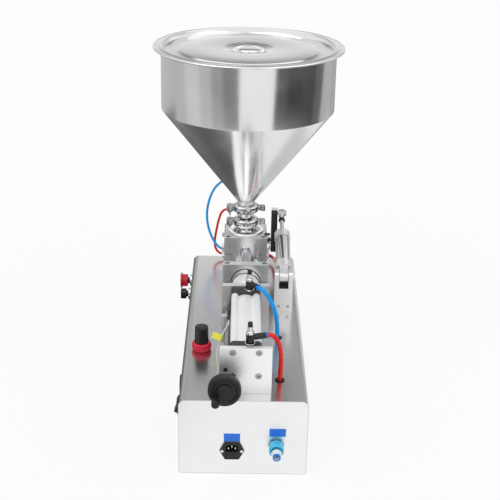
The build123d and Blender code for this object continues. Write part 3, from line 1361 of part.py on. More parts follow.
def flow_control(length, angle):
    """A one-way flow control: washer, body, neck and an arm with a hose socket."""
    body = rod(FLOW_BODY_R - 1, FLOW_WASHER_H)
    body += Pos(0, 0, FLOW_WASHER_H) * rod(FLOW_BODY_R, FLOW_BODY_H)
    neck_z = FLOW_WASHER_H + FLOW_BODY_H
    body += Pos(0, 0, neck_z) * rod(FLOW_NECK_R, FLOW_NECK_H)
    aim = (cos(radians(angle)), sin(radians(angle)), 0)
    body += Plane(origin=(0, 0, FLOW_ARM_RISE), z_dir=aim) * rod(FLOW_ARM_R, length)
    bore_l = FLOW_SPINDLE_L + HOLE_CLEARANCE
    return body - Pos(0, 0, neck_z + FLOW_NECK_H - bore_l) * rod(FLOW_SPINDLE_R + RUNNING_FIT, bore_l)


def flow_knob(far):
    """The flow control's adjusting knob and its spindle."""
    z = CAP_TOP_Z + FLOW_WASHER_H + FLOW_BODY_H + FLOW_NECK_H + HOLE_CLEARANCE
    knob = rod(FLOW_KNOB_R, FLOW_KNOB_H)
    knob = chamfer(knob.edges().filter_by(GeomType.CIRCLE).group_by(Axis.Z)[-1], 0.8)
    body = knob + Pos(0, 0, -FLOW_SPINDLE_L) * rod(FLOW_SPINDLE_R, FLOW_SPINDLE_L)
    return Pos(FLOW_X, y_at(flow_station(far)), z) * body


def table_elbow(side, rise):
    """A bulkhead elbow on the table, its arm to the left or to the right."""
    body = extrude(RegularPolygon(ELBOW_NUT_R, 6), ELBOW_NUT_H) + rod(ELBOW_R, rise + ELBOW_R)
    return body + Plane(origin=(0, 0, rise), z_dir=(side, 0, 0)) * rod(ELBOW_ARM_R, ELBOW_ARM_L)


def air_fittings():
    solids = []
    for far, length, angle in ((False, NEAR_ARM_L, NEAR_ARM_ANGLE), (True, FAR_ARM_L, FAR_ARM_ANGLE)):
        solids.append(Pos(FLOW_X, y_at(flow_station(far)), CAP_TOP_Z) * flow_control(length, angle))
    for z in nozzle_port_heights():
        place = Plane(origin=(PUMP_X - PORT_FLAT, y_at(NOZZLE_STATION), z), z_dir=(-1, 0, 0))
        solids.append(place * rod(SIDE_FITTING_R, SIDE_FITTING_L))
    elbows = [
        (NOZZLE_ELBOW_X, RED_ELBOW_STATION, -1, RED_ELBOW_RISE),
        (NOZZLE_ELBOW_X, BLUE_ELBOW_STATION, -1, BLUE_ELBOW_RISE),
        (ACTUATOR_ELBOW_X, ACTUATOR_ELBOW_STATION, 1, ACTUATOR_ELBOW_RISE),
    ]
    for x, station, side, rise in elbows:
        solids.append(Pos(x, y_at(station), BASE_H) * table_elbow(side, rise))
    return solids


def nozzle_port_heights():
    """The heights of the nozzle cylinder's two ports."""
    return (NOZZLE_TOP_Z + NOZZLE_CAP_L / 2, NOZZLE_TOP_Z + NOZZLE_CYLINDER_L - NOZZLE_CAP_L / 2)


def hose_grommets():
    """A rubber grommet in each hose hole, and the gland of the sensor cable."""
    grommet = rod(GROMMET_R, GROMMET_T) + Pos(0, 0, -GROMMET_SLEEVE_L) * rod(GROMMET_SLEEVE_R, GROMMET_SLEEVE_L)
    grommet -= Pos(0, 0, -GROMMET_SLEEVE_L) * rod(GROMMET_BORE_R, GROMMET_SLEEVE_L + GROMMET_T)
    solids = [Pos(HOSE_HOLE_X, y_at(s), BASE_H) * grommet for s in (RED_HOLE_STATION, BLUE_HOLE_STATION)]
    gland = extrude(RegularPolygon(CABLE_GLAND_R, 6), CABLE_GLAND_H / 2) + rod(CABLE_GLAND_R - 1.5, CABLE_GLAND_H)
    solids.append(Pos(GLAND_X, y_at(GLAND_STATION), BASE_H) * gland)
    return solids


# The hoses and the cable, as X, station and Z of each point of the route


def arm_end(far):
    """Where a drive hose leaves its flow control."""
    angle = radians(FAR_ARM_ANGLE if far else NEAR_ARM_ANGLE)
    length = FAR_ARM_L if far else NEAR_ARM_L
    return (
        FLOW_X + length * cos(angle),
        flow_station(far) + length * sin(angle),
        CAP_TOP_Z + FLOW_ARM_RISE,
    )


def nozzle_port_end(upper):
    """Where a nozzle hose leaves its fitting."""
    return (PUMP_X - PORT_FLAT - SIDE_FITTING_L, NOZZLE_STATION, nozzle_port_heights()[upper])


def led(place, aim, distance):
    """Two points of a route: a port's mouth, and the point straight out from it."""
    return [place, tuple(p + a * distance for p, a in zip(place, aim))]


def arm_led(far):
    angle = radians(FAR_ARM_ANGLE if far else NEAR_ARM_ANGLE)
    return led(arm_end(far), (cos(angle), sin(angle), 0), 10.0)


def table_led(x, station, side, rise, distance):
    """The last two points of a route that ends in an elbow on the table."""
    place = (x + side * ELBOW_ARM_L, station, BASE_H + rise)
    return led(place, (side, 0, 0), distance)[::-1]


def actuator_led():
    x, y, z = elbow_centre()
    return led((x, y + BASE_L / 2 + ELBOW_ARM_L, z), (0, 1, 0), 24.0)


ROUTES = {
    "red_drive_hose": (
        DRIVE_HOSE_R,
        [
            *arm_led(False),
            (58.7, 69.9, 280.0),
            (65.2, 73.8, 270.4),
            (70.6, 77.6, 257.0),
            (73.8, 80.6, 240.5),
            (75.4, 82.8, 222.5),
            (75.2, 84.2, 204.0),
            (74.4, 84.7, 186.0),
            (HOSE_HOLE_X, RED_HOLE_STATION, 168.0),
            (HOSE_HOLE_X, RED_HOLE_STATION + 0.6, 141.0),
            (HOSE_HOLE_X, RED_HOLE_STATION + 2.0, 112.0),
            (HOSE_HOLE_X, RED_HOLE_STATION + 8.5, 90.5),
            (HOSE_HOLE_X, RED_HOLE_STATION + 20.0, 77.5),
            (HOSE_HOLE_X, MANIFOLD_REAR - 12.0, MANIFOLD_PORT_Z),
            (MANIFOLD_X, MANIFOLD_REAR, MANIFOLD_PORT_Z),
        ],
    ),
    "blue_drive_hose": (
        DRIVE_HOSE_R,
        [
            *arm_led(True),
            (43.6, 279.6, 279.6),
            (52.3, 277.2, 269.0),
            (60.2, 275.8, 255.2),
            (66.4, 274.6, 238.6),
            (70.9, 273.4, 220.6),
            (73.1, 272.6, 202.4),
            (73.9, 272.2, 185.0),
            (HOSE_HOLE_X, BLUE_HOLE_STATION, 168.0),
            (HOSE_HOLE_X, BLUE_HOLE_STATION - 0.8, 138.0),
            (HOSE_HOLE_X, BLUE_HOLE_STATION - 4.5, 110.0),
            (HOSE_HOLE_X, BLUE_HOLE_STATION - 13.5, 88.0),
            (HOSE_HOLE_X, BLUE_HOLE_STATION - 28.0, 75.5),
            (HOSE_HOLE_X, MANIFOLD_FRONT + 12.0, MANIFOLD_PORT_Z),
            (MANIFOLD_X, MANIFOLD_FRONT, MANIFOLD_PORT_Z),
        ],
    ),
    "red_nozzle_hose": (
        NOZZLE_HOSE_R,
        [
            *led(nozzle_port_end(0), (-1, 0, 0), 12.0),
            (-59.5, 754.0, 283.5),
            (-66.0, 749.0, 266.0),
            (-71.0, 743.0, 243.0),
            (-75.3, 735.0, 220.0),
            (-76.2, 725.0, 201.0),
            (-68.5, 717.5, 187.0),
            *table_led(NOZZLE_ELBOW_X, RED_ELBOW_STATION, -1, RED_ELBOW_RISE, 12.0),
        ],
    ),
    "blue_nozzle_hose": (
        NOZZLE_HOSE_R,
        [
            *led(nozzle_port_end(1), (-1, 0, 0), 12.0),
            (-65.0, 755.0, 363.0),
            (-80.0, 752.0, 346.0),
            (-91.0, 746.0, 321.0),
            (-96.8, 738.5, 293.0),
            (-95.8, 730.5, 265.0),
            (-89.0, 721.5, 240.0),
            (-78.5, 711.0, 221.0),
            (-67.0, 702.0, 208.5),
            *table_led(NOZZLE_ELBOW_X, BLUE_ELBOW_STATION, -1, BLUE_ELBOW_RISE, 11.0),
        ],
    ),
    "actuator_hose": (
        ACTUATOR_HOSE_R,
        [
            *actuator_led(),
            (88.5, 545.0, 226.5),
            (84.5, 584.0, 213.5),
            (80.5, 622.0, 201.0),
            (78.5, 652.0, 192.5),
            (77.0, 677.0, 187.0),
            (71.5, 696.0, 185.5),
            *table_led(ACTUATOR_ELBOW_X, ACTUATOR_ELBOW_STATION, 1, ACTUATOR_ELBOW_RISE, 14.0),
        ],
    ),
    "sensor_cable": (
        CABLE_R,
        [
            *led((CARRIAGE_RIGHT_X - SENSOR_W / 2, SENSOR_STATION, SENSOR_Z + SENSOR_H / 2), (0, -1, 0), 13.0),
            (-38.5, 234.0, 214.0),
            (-46.5, 218.5, 206.0),
            (-53.5, 202.5, 194.5),
            (-57.0, 186.0, 183.0),
            (-56.2, 167.0, 175.5),
            (-54.4, 147.0, 173.2),
            (-53.2, 125.0, 173.0),
            (-53.2, 103.0, 173.8),
            (-54.0, 82.0, 178.5),
            (-55.0, 63.0, 187.5),
            (-55.6, 46.5, 197.5),
            (-56.0, 32.5, 201.0),
            (GLAND_X, GLAND_STATION, BASE_H + CABLE_GLAND_H + 12.0),
            (GLAND_X, GLAND_STATION, BASE_H + CABLE_GLAND_H),
        ],
    ),
}


def route_path(name):
    """The hose's centre line: straight runs joined by arcs as large as the runs allow."""
    points = [Vector(x, y_at(s), z) for x, s, z in ROUTES[name][1]]
    radii = []
    for before, here, after in zip(points, points[1:], points[2:]):
        turn = radians((here - before).get_angle(after - here))
        run = min((here - before).length, (after - here).length)
        radii.append(BEND_SHARE * run / tan(turn / 2))
    return FilletPolyline(*points, radius=radii), radii


def hose(name):
    radius = ROUTES[name][0]
    path, radii = route_path(name)
    section = Plane(origin=path @ 0, z_dir=path % 0) * Circle(radius)
    body = sweep(section, path=path)
    share = body.volume / (pi * radius**2 * path.length)
    bends = " ".join(f"{bend / (2 * radius):.1f}" for bend in radii)
    print(f"{name}: length {path.length:.0f}, volume share {share:.3f}, bends in diameters {bends}")
    return body


def cable_tag():
    """The folded yellow marker on the sensor cable."""
    start, end = [Vector(x, y_at(s), z) for x, s, z in ROUTES["sensor_cable"][1][3:5]]
    place = Plane(origin=(start + end) / 2, x_dir=(-1, 0.25, 0.45), z_dir=end - start)
    flag = Pos(TAG_W / 2, 0, -TAG_L / 2) * Box(TAG_W, TAG_T, TAG_L, align=LOW)
    body = flag + Pos(0, 0, -TAG_L / 2) * rod(TAG_SLEEVE_R, TAG_L)
    return place * (body - Pos(0, 0, -TAG_L) * rod(CABLE_R + HOLE_CLEARANCE, 2 * TAG_L))


NODES = {
    "base_cover": base_cover,
    "end_panels": end_panels,
    "bottom_plate": bottom_plate,
    "valve_manifold": valve_manifold,
    "power_inlet": power_inlet,
    "air_valve_body": air_valve_body,
    "air_valve_sleeve": air_valve_sleeve,
    "regulator_body": regulator_body,
    "regulator_knob": regulator_knob,
    "gauge_case": gauge_case,
    "gauge_needle": gauge_needle,
    "switch_collars": switch_collars,
    "estop_stem": estop_stem,
    "estop_head": estop_head,
    "button_cap": button_cap,
    "rocker": rocker,
    "rear_plate": rear_plate,
    "cylinder_plate": cylinder_plate,
    "cylinder_caps": cylinder_caps,
    "cylinder_barrel": cylinder_barrel,
    "cap_screws": cap_screws,
    "drive_piston": drive_piston,
    "drive_rod": drive_rod,
    "rod_coupling": rod_coupling,
    "material_piston": material_piston,
    "lower_clamps": lower_clamps,
    "upper_clamps": upper_clamps,
    "material_tube": material_tube,
    "valve_block": valve_block,
    "valve_glands": valve_glands,
    "valve_spool": valve_spool,
    "valve_lever": valve_lever,
    "feed_neck": feed_neck,
    "neck_pipe": neck_pipe,
    "tri_clamps": tri_clamps,
    "hopper": hopper,
    "lid": lid,
    "nozzle_body": nozzle_body,
    "nozzle_cylinder": nozzle_cylinder,
    "nozzle_plug": nozzle_plug,
    "actuator_bracket": actuator_bracket,
    "actuator_cylinder": actuator_cylinder,
    "actuator_rod": actuator_rod,
    "rod_eye": rod_eye,
    "handwheel": handwheel,
    "wheel_handle": wheel_handle,
    "lead_screw": lead_screw,
    "sensor_carriage": sensor_carriage,
    "reed_sensor": reed_sensor,
    "air_fittings": air_fittings,
    "flow_knob_near": lambda: flow_knob(False),
    "flow_knob_far": lambda: flow_knob(True),
    "hose_grommets": hose_grommets,
    "cable_tag": cable_tag,
    **{name: (lambda name=name: hose(name)) for name in ROUTES},
}


def solids_of(made):
    """Every solid of what a piece's function returns."""
    found = []
    for item in made if isinstance(made, list) else [made]:
        found.extend(item.solids())
    return found


def main():
    os.makedirs("parts", exist_ok=True)
    tilt = degrees(ACTUATOR_PITCH - ACTUATOR_PITCH_OUT)
    reach = ACTUATOR_SPAN_OUT - ACTUATOR_SPAN
    print(f"actuator: pitch {degrees(ACTUATOR_PITCH):.4f}, tilt {tilt:.4f}, reach {reach:.4f}")
    for name, make in NODES.items():
        solids = solids_of(make())
        shape = solids[0] if len(solids) == 1 else Compound(children=solids)
        shape.label = name
        export_step(shape, os.path.join("parts", name + ".step"))
        print(name, len(solids), round(sum(s.volume for s in solids)))


if __name__ == "__main__":
    main()
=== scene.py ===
import json
import math

import bmesh
import bpy
from mathutils import Matrix, Vector

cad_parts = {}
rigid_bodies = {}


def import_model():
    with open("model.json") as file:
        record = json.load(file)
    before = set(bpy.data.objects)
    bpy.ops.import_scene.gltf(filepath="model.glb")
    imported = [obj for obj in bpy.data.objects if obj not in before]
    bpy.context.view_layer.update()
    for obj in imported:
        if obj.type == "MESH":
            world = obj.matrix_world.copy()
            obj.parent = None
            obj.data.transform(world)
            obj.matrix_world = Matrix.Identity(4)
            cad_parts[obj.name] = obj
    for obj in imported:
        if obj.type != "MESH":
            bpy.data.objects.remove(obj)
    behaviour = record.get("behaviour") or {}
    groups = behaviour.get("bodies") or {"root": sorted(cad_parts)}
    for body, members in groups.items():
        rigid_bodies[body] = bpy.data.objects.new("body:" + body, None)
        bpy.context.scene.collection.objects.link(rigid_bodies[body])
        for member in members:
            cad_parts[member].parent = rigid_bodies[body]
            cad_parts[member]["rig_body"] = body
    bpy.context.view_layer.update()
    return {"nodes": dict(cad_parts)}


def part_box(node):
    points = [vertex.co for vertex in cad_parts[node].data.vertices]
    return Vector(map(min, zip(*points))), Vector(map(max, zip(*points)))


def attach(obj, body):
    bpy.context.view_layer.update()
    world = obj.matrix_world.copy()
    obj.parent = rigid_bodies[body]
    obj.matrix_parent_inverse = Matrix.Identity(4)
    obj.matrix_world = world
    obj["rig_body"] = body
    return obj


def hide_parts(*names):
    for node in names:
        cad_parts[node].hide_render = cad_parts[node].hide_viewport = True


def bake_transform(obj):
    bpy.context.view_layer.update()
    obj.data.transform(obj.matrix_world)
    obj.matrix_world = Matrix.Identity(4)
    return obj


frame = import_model()
nodes = frame["nodes"]


# The housing is one folded sheet of stainless steel, with end panels and a vented bottom plate.
# The sheet is brushed along its length, and the end panels, flush inside it, are brushed across.


def finish_of(name, colour, roughness, grain, metallic=1.0, spread=0.08, shade=0.08, relief=0.0,
              coords="Object", streak=0.0, shine=0.5):
    """A finish whose tone, gloss and relief follow fine lines or grains, counted per metre."""
    finish = bpy.data.materials.new(name)
    finish.use_nodes = True
    parts, link = finish.node_tree.nodes, finish.node_tree.links.new
    shader = parts["Principled BSDF"]
    shader.inputs["Metallic"].default_value = metallic
    shader.inputs["Specular IOR Level"].default_value = shine
    where = parts.new("ShaderNodeTexCoord")
    stretch = parts.new("ShaderNodeMapping")
    stretch.inputs["Scale"].default_value = grain
    link(where.outputs[coords], stretch.inputs["Vector"])
    lines = parts.new("ShaderNodeTexNoise")
    lines.inputs["Scale"].default_value = 1.0
    lines.inputs["Detail"].default_value = 2.0
    link(stretch.outputs["Vector"], lines.inputs["Vector"])
    cloud = parts.new("ShaderNodeTexNoise")
    cloud.inputs["Scale"].default_value = 14.0
    cloud.inputs["Detail"].default_value = 1.0
    link(where.outputs[coords], cloud.inputs["Vector"])
    both = parts.new("ShaderNodeMath")
    both.operation = "MULTIPLY_ADD"
    both.inputs[1].default_value = 0.5
    link(lines.outputs["Fac"], both.inputs[0])
    half = parts.new("ShaderNodeMath")
    half.operation = "MULTIPLY"
    half.inputs[1].default_value = 0.5
    link(cloud.outputs["Fac"], half.inputs[0])
    link(half.outputs[0], both.inputs[2])
    tone = parts.new("ShaderNodeValToRGB")
    low, high = tone.color_ramp.elements
    low.position, high.position = 0.3, 0.7
    low.color = [*(c * (1 - shade) for c in colour), 1]
    high.color = [*(min(1, c * (1 + shade)) for c in colour), 1]
    link(both.outputs[0], tone.inputs["Fac"])
    link(tone.outputs["Color"], shader.inputs["Base Color"])
    gloss = parts.new("ShaderNodeMapRange")
    gloss.inputs["From Min"].default_value = 0.3
    gloss.inputs["From Max"].default_value = 0.7
    gloss.inputs["To Min"].default_value = max(0.02, roughness - spread)
    gloss.inputs["To Max"].default_value = roughness + spread
    link(both.outputs[0], gloss.inputs["Value"])
    link(gloss.outputs["Result"], shader.inputs["Roughness"])
    if relief:
        bump = parts.new("ShaderNodeBump")
        bump.inputs["Strength"].default_value = 0.5
        bump.inputs["Distance"].default_value = relief
        link(lines.outputs["Fac"], bump.inputs["Height"])
        link(bump.outputs["Normal"], shader.inputs["Normal"])
    if streak:
        shader.inputs["Anisotropic"].default_value = streak
        shader.inputs["Anisotropic Rotation"].default_value = 0.25
    return finish


def coat(finish, *names):
    """Gives parts that keep their own shape a better finish."""
    for name in names:
        nodes[name].material_slots[0].material = finish


def eased(finish, *names, edge=0.0004, also=()):
    """A copy of each part with its seams closed and its edges broken by a small round."""
    for name in names:
        mesh = nodes[name].data.copy()
        bm = bmesh.new()
        bm.from_mesh(mesh)
        bmesh.ops.remove_doubles(bm, verts=bm.verts, dist=1e-6)
        bmesh.ops.dissolve_limit(bm, angle_limit=0.002, verts=bm.verts, edges=bm.edges)
        for face in bm.faces:
            centre = face.calc_center_median()
            face.material_index = next((i + 1 for i, (_, holds) in enumerate(also) if holds(centre)), 0)
        mesh.materials.clear()
        for coating in (finish, *(other for other, _ in also)):
            mesh.materials.append(coating)
        bm.to_mesh(mesh)
        bm.free()
        mesh.shade_smooth()
        mesh.set_sharp_from_angle(angle=math.radians(32))
        piece = bpy.data.objects.new("finished_" + name, mesh)
        bpy.context.scene.collection.objects.link(piece)
        if edge:
            rounding = piece.modifiers.new("edge", "BEVEL")
            rounding.width = edge
            rounding.segments = 2
            rounding.limit_method = "ANGLE"
            rounding.angle_limit = math.radians(40)
            rounding.harden_normals = True
        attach(piece, nodes[name]["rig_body"])
        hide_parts(name)


lengthwise_steel = finish_of("lengthwise_steel", (0.66, 0.66, 0.66), 0.23, (2200, 30, 600), spread=0.04,
                             shade=0.05, relief=0.00002)
crosswise_steel = finish_of("crosswise_steel", (0.90, 0.90, 0.90), 0.36, (30, 600, 2200), shade=0.03,
                            relief=0.00003)
eased(lengthwise_steel, "base_cover", "bottom_plate", edge=0)
eased(crosswise_steel, "end_panels", edge=0)


# The rear panel carries a mains inlet and a sleeve valve for the air line. Their plastics are
# moulded with a fine matt grain or a gloss, and a plain blue plate is glued above each.

moulded_black = finish_of("moulded_black", (0.016, 0.016, 0.017), 0.42, (1800, 1800, 1800), metallic=0,
                          relief=0.00005, shine=0.35)
nickel = finish_of("nickel", (0.74, 0.73, 0.71), 0.16, (700, 700, 700), spread=0.05, shade=0.05)
nut_teal = finish_of("nut_teal", (0.0, 0.16, 0.24), 0.30, (900, 900, 900), metallic=0, shade=0.15)
sleeve_blue = finish_of("sleeve_blue", (0.06, 0.50, 0.80), 0.20, (900, 900, 900), metallic=0, shade=0.12)
collar_blue = finish_of("collar_blue", (0.01, 0.16, 0.62), 0.28, (900, 900, 900), metallic=0, shade=0.10)
ring_white = finish_of("ring_white", (0.72, 0.84, 0.90), 0.25, (700, 700, 700), metallic=0, shade=0.04)
inlet_x, inlet_z, inlet_screw_x, screw_head_r = -0.022, 0.056, 0.020, 0.0034
pin_places = [(inlet_x - 0.007, 0.060), (inlet_x, 0.064), (inlet_x + 0.007, 0.060)]
pin_half_width, pin_half_height, pin_root_y = 0.0012, 0.0021, -0.3495
valve_collar_y, valve_ring_y = -0.4068, -0.3925


def on_inlet_screw(c):
    return abs(abs(c.x - inlet_x) - inlet_screw_x) < screw_head_r and abs(c.z - inlet_z) < screw_head_r


def on_pin(c):
    return c.y < pin_root_y and any(abs(c.x - x) < pin_half_width and abs(c.z - z) < pin_half_height
                                    for x, z in pin_places)


eased(moulded_black, "power_inlet", also=[(nickel, on_inlet_screw), (nickel, on_pin)])
eased(nut_teal, "air_valve_body", also=[
    (collar_blue, lambda c: c.y < valve_collar_y),
    (ring_white, lambda c: c.y < valve_ring_y),
])
eased(sleeve_blue, "air_valve_sleeve", edge=0.0008)


def plate(name, low, high, finish, body="base", edge=0.0003):
    """A thin flat piece between two corners, with its edges broken."""
    mesh = bpy.data.meshes.new(name)
    bm = bmesh.new()
    bmesh.ops.create_cube(bm, size=1)
    for vert in bm.verts:
        vert.co = [(a + b) / 2 + c * (b - a) for a, b, c in zip(low, high, vert.co)]
    bmesh.ops.bevel(bm, geom=bm.edges, offset=edge, segments=2, affect="EDGES", profile=0.5)
    bm.to_mesh(mesh)
    bm.free()
    mesh.materials.append(finish)
    piece = bpy.data.objects.new(name, mesh)
    bpy.context.scene.collection.objects.link(piece)
    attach(piece, body)
    return piece


label_blue = finish_of("label_blue", (0.01, 0.17, 0.76), 0.35, (700, 700, 700), metallic=0, shade=0.04)
half_width, half_height, label_front_y, label_back_y = 0.0165, 0.009, -0.3646, -0.3638
for name, x, z in (("inlet_label", -0.0222, 0.0863), ("air_label", 0.0694, 0.0987)):
    label = plate(name, (x - half_width, label_front_y, z - half_height),
                  (x + half_width, label_back_y, z + half_height), label_blue)


# The left side carries a power rocker in a black bezel, an emergency stop and a start button in
# nickel collars, and a round pressure gauge. The gauge has a white dial with black marks under a
# thin clear lens.

gloss_red = finish_of("gloss_red", (0.66, 0.010, 0.035), 0.20, (500, 500, 500), metallic=0, shade=0.1)
needle_paint = finish_of("needle_paint", (0.60, 0.03, 0.03), 0.4, (500, 500, 500), metallic=0)
gloss_black = finish_of("gloss_black", (0.008, 0.008, 0.009), 0.20, (400, 400, 400), metallic=0, shade=0.2,
                        shine=0.4)
dial_white = finish_of("dial_white", (0.84, 0.84, 0.82), 0.5, (300, 300, 300), metallic=0, shade=0.02)
clear_lens = finish_of("clear_lens", (0.97, 0.98, 0.98), 0.04, (300, 300, 300), metallic=0, spread=0.02,
                       shade=0.01)
clear_lens.node_tree.nodes["Principled BSDF"].inputs["Transmission Weight"].default_value = 1.0
gauge_y, gauge_z, dial_x, dial_r = -0.224, 0.125, -0.129, 0.0175
lens_x, lens_r = -0.1322, 0.01805


def off_gauge(c):
    """How far a point lies off the gauge's axis."""
    return math.hypot(c.y - gauge_y, c.z - gauge_z)


eased(moulded_black, "rocker")
eased(gloss_red, "estop_head", edge=0.0006)
eased(gloss_black, "button_cap", edge=0.0006)
eased(nickel, "switch_collars", also=[(moulded_black, lambda c: c.y < 0)])
eased(moulded_black, "estop_stem")
eased(gloss_black, "gauge_case", also=[
    (clear_lens, lambda c: c.x < lens_x and off_gauge(c) < lens_r),
    (dial_white, lambda c: abs(c.x - dial_x) < 0.0003 and off_gauge(c) < dial_r),
])
coat(needle_paint, "gauge_needle")


def layout_tree(name, sizes):
    """A Geometry Nodes tree with named inputs, and the value that each input takes."""
    tree = bpy.data.node_groups.new(name + "_layout", "GeometryNodeTree")
    tree.interface.new_socket("Geometry", in_out="OUTPUT", socket_type="NodeSocketGeometry")
    wanted = {}
    for label, kind, value in sizes:
        socket = tree.interface.new_socket(label, in_out="INPUT", socket_type="NodeSocket" + kind)
        wanted[socket.identifier] = value
    return tree, wanted


def made_real(parts, link, shape, finish):
    """Ends a tree: its copies become plain mesh and take their finish."""
    real = parts.new("GeometryNodeRealizeInstances")
    link(shape, real.inputs[0])
    painted = parts.new("GeometryNodeSetMaterial")
    painted.inputs["Material"].default_value = finish
    link(real.outputs[0], painted.inputs["Geometry"])
    result = parts.new("NodeGroupOutput")
    link(painted.outputs[0], result.inputs[0])


def ring_of(name, shape, count, radius, size, first, sweep, lay, finish, body):
    """A small shape repeated round a circle by Geometry Nodes, then laid in its place."""
    tree, wanted = layout_tree(name, (
        ("Count", "Int", count), ("Circle radius", "Float", radius), ("Piece size", "Vector", size),
        ("First angle", "Float", first), ("Sweep", "Float", sweep),
    ))
    parts, link = tree.nodes, tree.links.new
    given = parts.new("NodeGroupInput")
    spots = parts.new("GeometryNodePoints")
    link(given.outputs["Count"], spots.inputs["Count"])
    step = parts.new("ShaderNodeMath")
    step.operation = "DIVIDE"
    link(parts.new("GeometryNodeInputIndex").outputs[0], step.inputs[0])
    link(given.outputs["Count"], step.inputs[1])
    angle = parts.new("ShaderNodeMath")
    angle.operation = "MULTIPLY_ADD"
    link(step.outputs[0], angle.inputs[0])
    link(given.outputs["Sweep"], angle.inputs[1])
    link(given.outputs["First angle"], angle.inputs[2])
    across = parts.new("ShaderNodeCombineXYZ")
    link(given.outputs["Circle radius"], across.inputs["X"])
    turn = parts.new("ShaderNodeVectorRotate")
    turn.rotation_type = "Z_AXIS"
    link(across.outputs[0], turn.inputs["Vector"])
    link(angle.outputs[0], turn.inputs["Angle"])
    link(turn.outputs[0], spots.inputs["Position"])
    facing = parts.new("ShaderNodeCombineXYZ")
    link(angle.outputs[0], facing.inputs["Z"])
    if shape == "block":
        pattern = parts.new("GeometryNodeMeshCube")
    else:
        pattern = parts.new("GeometryNodeMeshUVSphere")
        pattern.inputs["Segments"].default_value = 16
        pattern.inputs["Rings"].default_value = 8
        pattern.inputs["Radius"].default_value = 0.5
    scatter = parts.new("GeometryNodeInstanceOnPoints")
    link(spots.outputs[0], scatter.inputs["Points"])
    link(pattern.outputs["Mesh"], scatter.inputs["Instance"])
    link(facing.outputs[0], scatter.inputs["Rotation"])
    link(given.outputs["Piece size"], scatter.inputs["Scale"])
    made_real(parts, link, scatter.outputs[0], finish)
    return grown(name, tree, wanted, lay, body, smooth=shape != "block")


def grown(name, tree, wanted, lay, body, smooth=True):
    """Runs a tree once with its inputs and keeps the result as a plain mesh in its place."""
    holder = bpy.data.objects.new(name + "_holder", bpy.data.meshes.new(name + "_holder"))
    bpy.context.scene.collection.objects.link(holder)
    modifier = holder.modifiers.new("layout", "NODES")
    modifier.node_group = tree
    for identifier, value in wanted.items():
        modifier[identifier] = value
    bpy.context.view_layer.update()
    mesh = bpy.data.meshes.new_from_object(holder.evaluated_get(bpy.context.evaluated_depsgraph_get()))
    bpy.data.objects.remove(holder)
    mesh.transform(lay)
    if smooth:
        mesh.shade_smooth()
    piece = bpy.data.objects.new(name, mesh)
    bpy.context.scene.collection.objects.link(piece)
    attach(piece, body)
    return piece


def laid_along(place, aim):
    """Turns a piece's own Z axis to a direction and moves it to its place."""
    return Matrix.Translation(place) @ Vector((0, 0, 1)).rotation_difference(Vector(aim)).to_matrix().to_4x4()


mark_width, mark_height, scale_start, scale_sweep = 0.0004, 0.0002, math.radians(-45), math.radians(270)
dial_face = laid_along((dial_x - mark_height, gauge_y, gauge_z), (-1, 0, 0))
for name, count, radius, length in (
    ("dial_marks", 26, 0.0148, 0.0018), ("dial_long_marks", 5, 0.0141, 0.0032),
):
    ring_of(name, "block", count, radius, (length, mark_width, mark_height), scale_start,
            scale_sweep * count / (count - 1), dial_face, gloss_black, "base")


# The air regulator hangs under the table, held by a scalloped red ring nut on top. A fluted black
# knob turns in the ring to set the pressure. Both are glossy moulded plastic.

ring_place = (-0.091, -0.149, 0.180)
grip_count, grip_circle_r, grip_size = 14, 0.0192, (0.0040, 0.0066, 0.0150)
eased(gloss_red, "regulator_body")
eased(gloss_black, "regulator_knob", edge=0.0002)
ring_of("regulator_grips", "bead", grip_count, grip_circle_r, grip_size, 0.0, 2 * math.pi,
        Matrix.Translation(ring_place), gloss_red, "base")


# Rubber grommets line the two holes where the drive hoses go down into the housing, and a gland
# holds the sensor's cable. The hoses end at a valve inside, which is a sawn block of aluminium.

rubber = finish_of("rubber", (0.012, 0.012, 0.012), 0.62, (1500, 1500, 1500), metallic=0, relief=0.00008,
                   shine=0.3)
sawn_aluminium = finish_of("sawn_aluminium", (0.72, 0.73, 0.75), 0.4, (60, 900, 900))
eased(rubber, "hose_grommets")
eased(sawn_aluminium, "valve_manifold")


# The drive cylinder lies between a thick rear plate and a front plate of ground stainless steel.
# Its caps are dark anodised castings, and its barrel is a pale anodised extrusion.

ground_steel = finish_of("ground_steel", (0.93, 0.93, 0.93), 0.48, (900, 60, 900), shade=0.03, relief=0.00002)
milled_steel = finish_of("milled_steel", (0.72, 0.72, 0.725), 0.33, (700, 80, 700), shade=0.07,
                         relief=0.00003)
bright_steel = finish_of("bright_steel", (0.78, 0.78, 0.79), 0.17, (500, 120, 500), spread=0.05)
dark_casting = finish_of("dark_casting", (0.045, 0.045, 0.048), 0.42, (900, 900, 900), metallic=0.4,
                         relief=0.0001)
pale_extrusion = finish_of("pale_extrusion", (0.96, 0.96, 0.97), 0.38, (1500, 20, 1500), metallic=0.15,
                           shade=0.03)
screw_steel = finish_of("screw_steel", (0.45, 0.45, 0.46), 0.28, (800, 800, 800))
eased(ground_steel, "rear_plate", edge=0.0006)
top_band = 0.001
plate_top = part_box("cylinder_plate")[1][2] - top_band
eased(milled_steel, "cylinder_plate", edge=0.0006, also=[(ground_steel, lambda c: c.z > plate_top)])
eased(dark_casting, "cylinder_caps", edge=0.0006)
eased(pale_extrusion, "cylinder_barrel", edge=0)
eased(screw_steel, "cap_screws", edge=0.0003)


# The drive piston pushes a chromed rod, which a waisted steel coupling joins to the dosing piston.
# That piston is turned from white plastic, with a boss for the coupling and two seals round it.

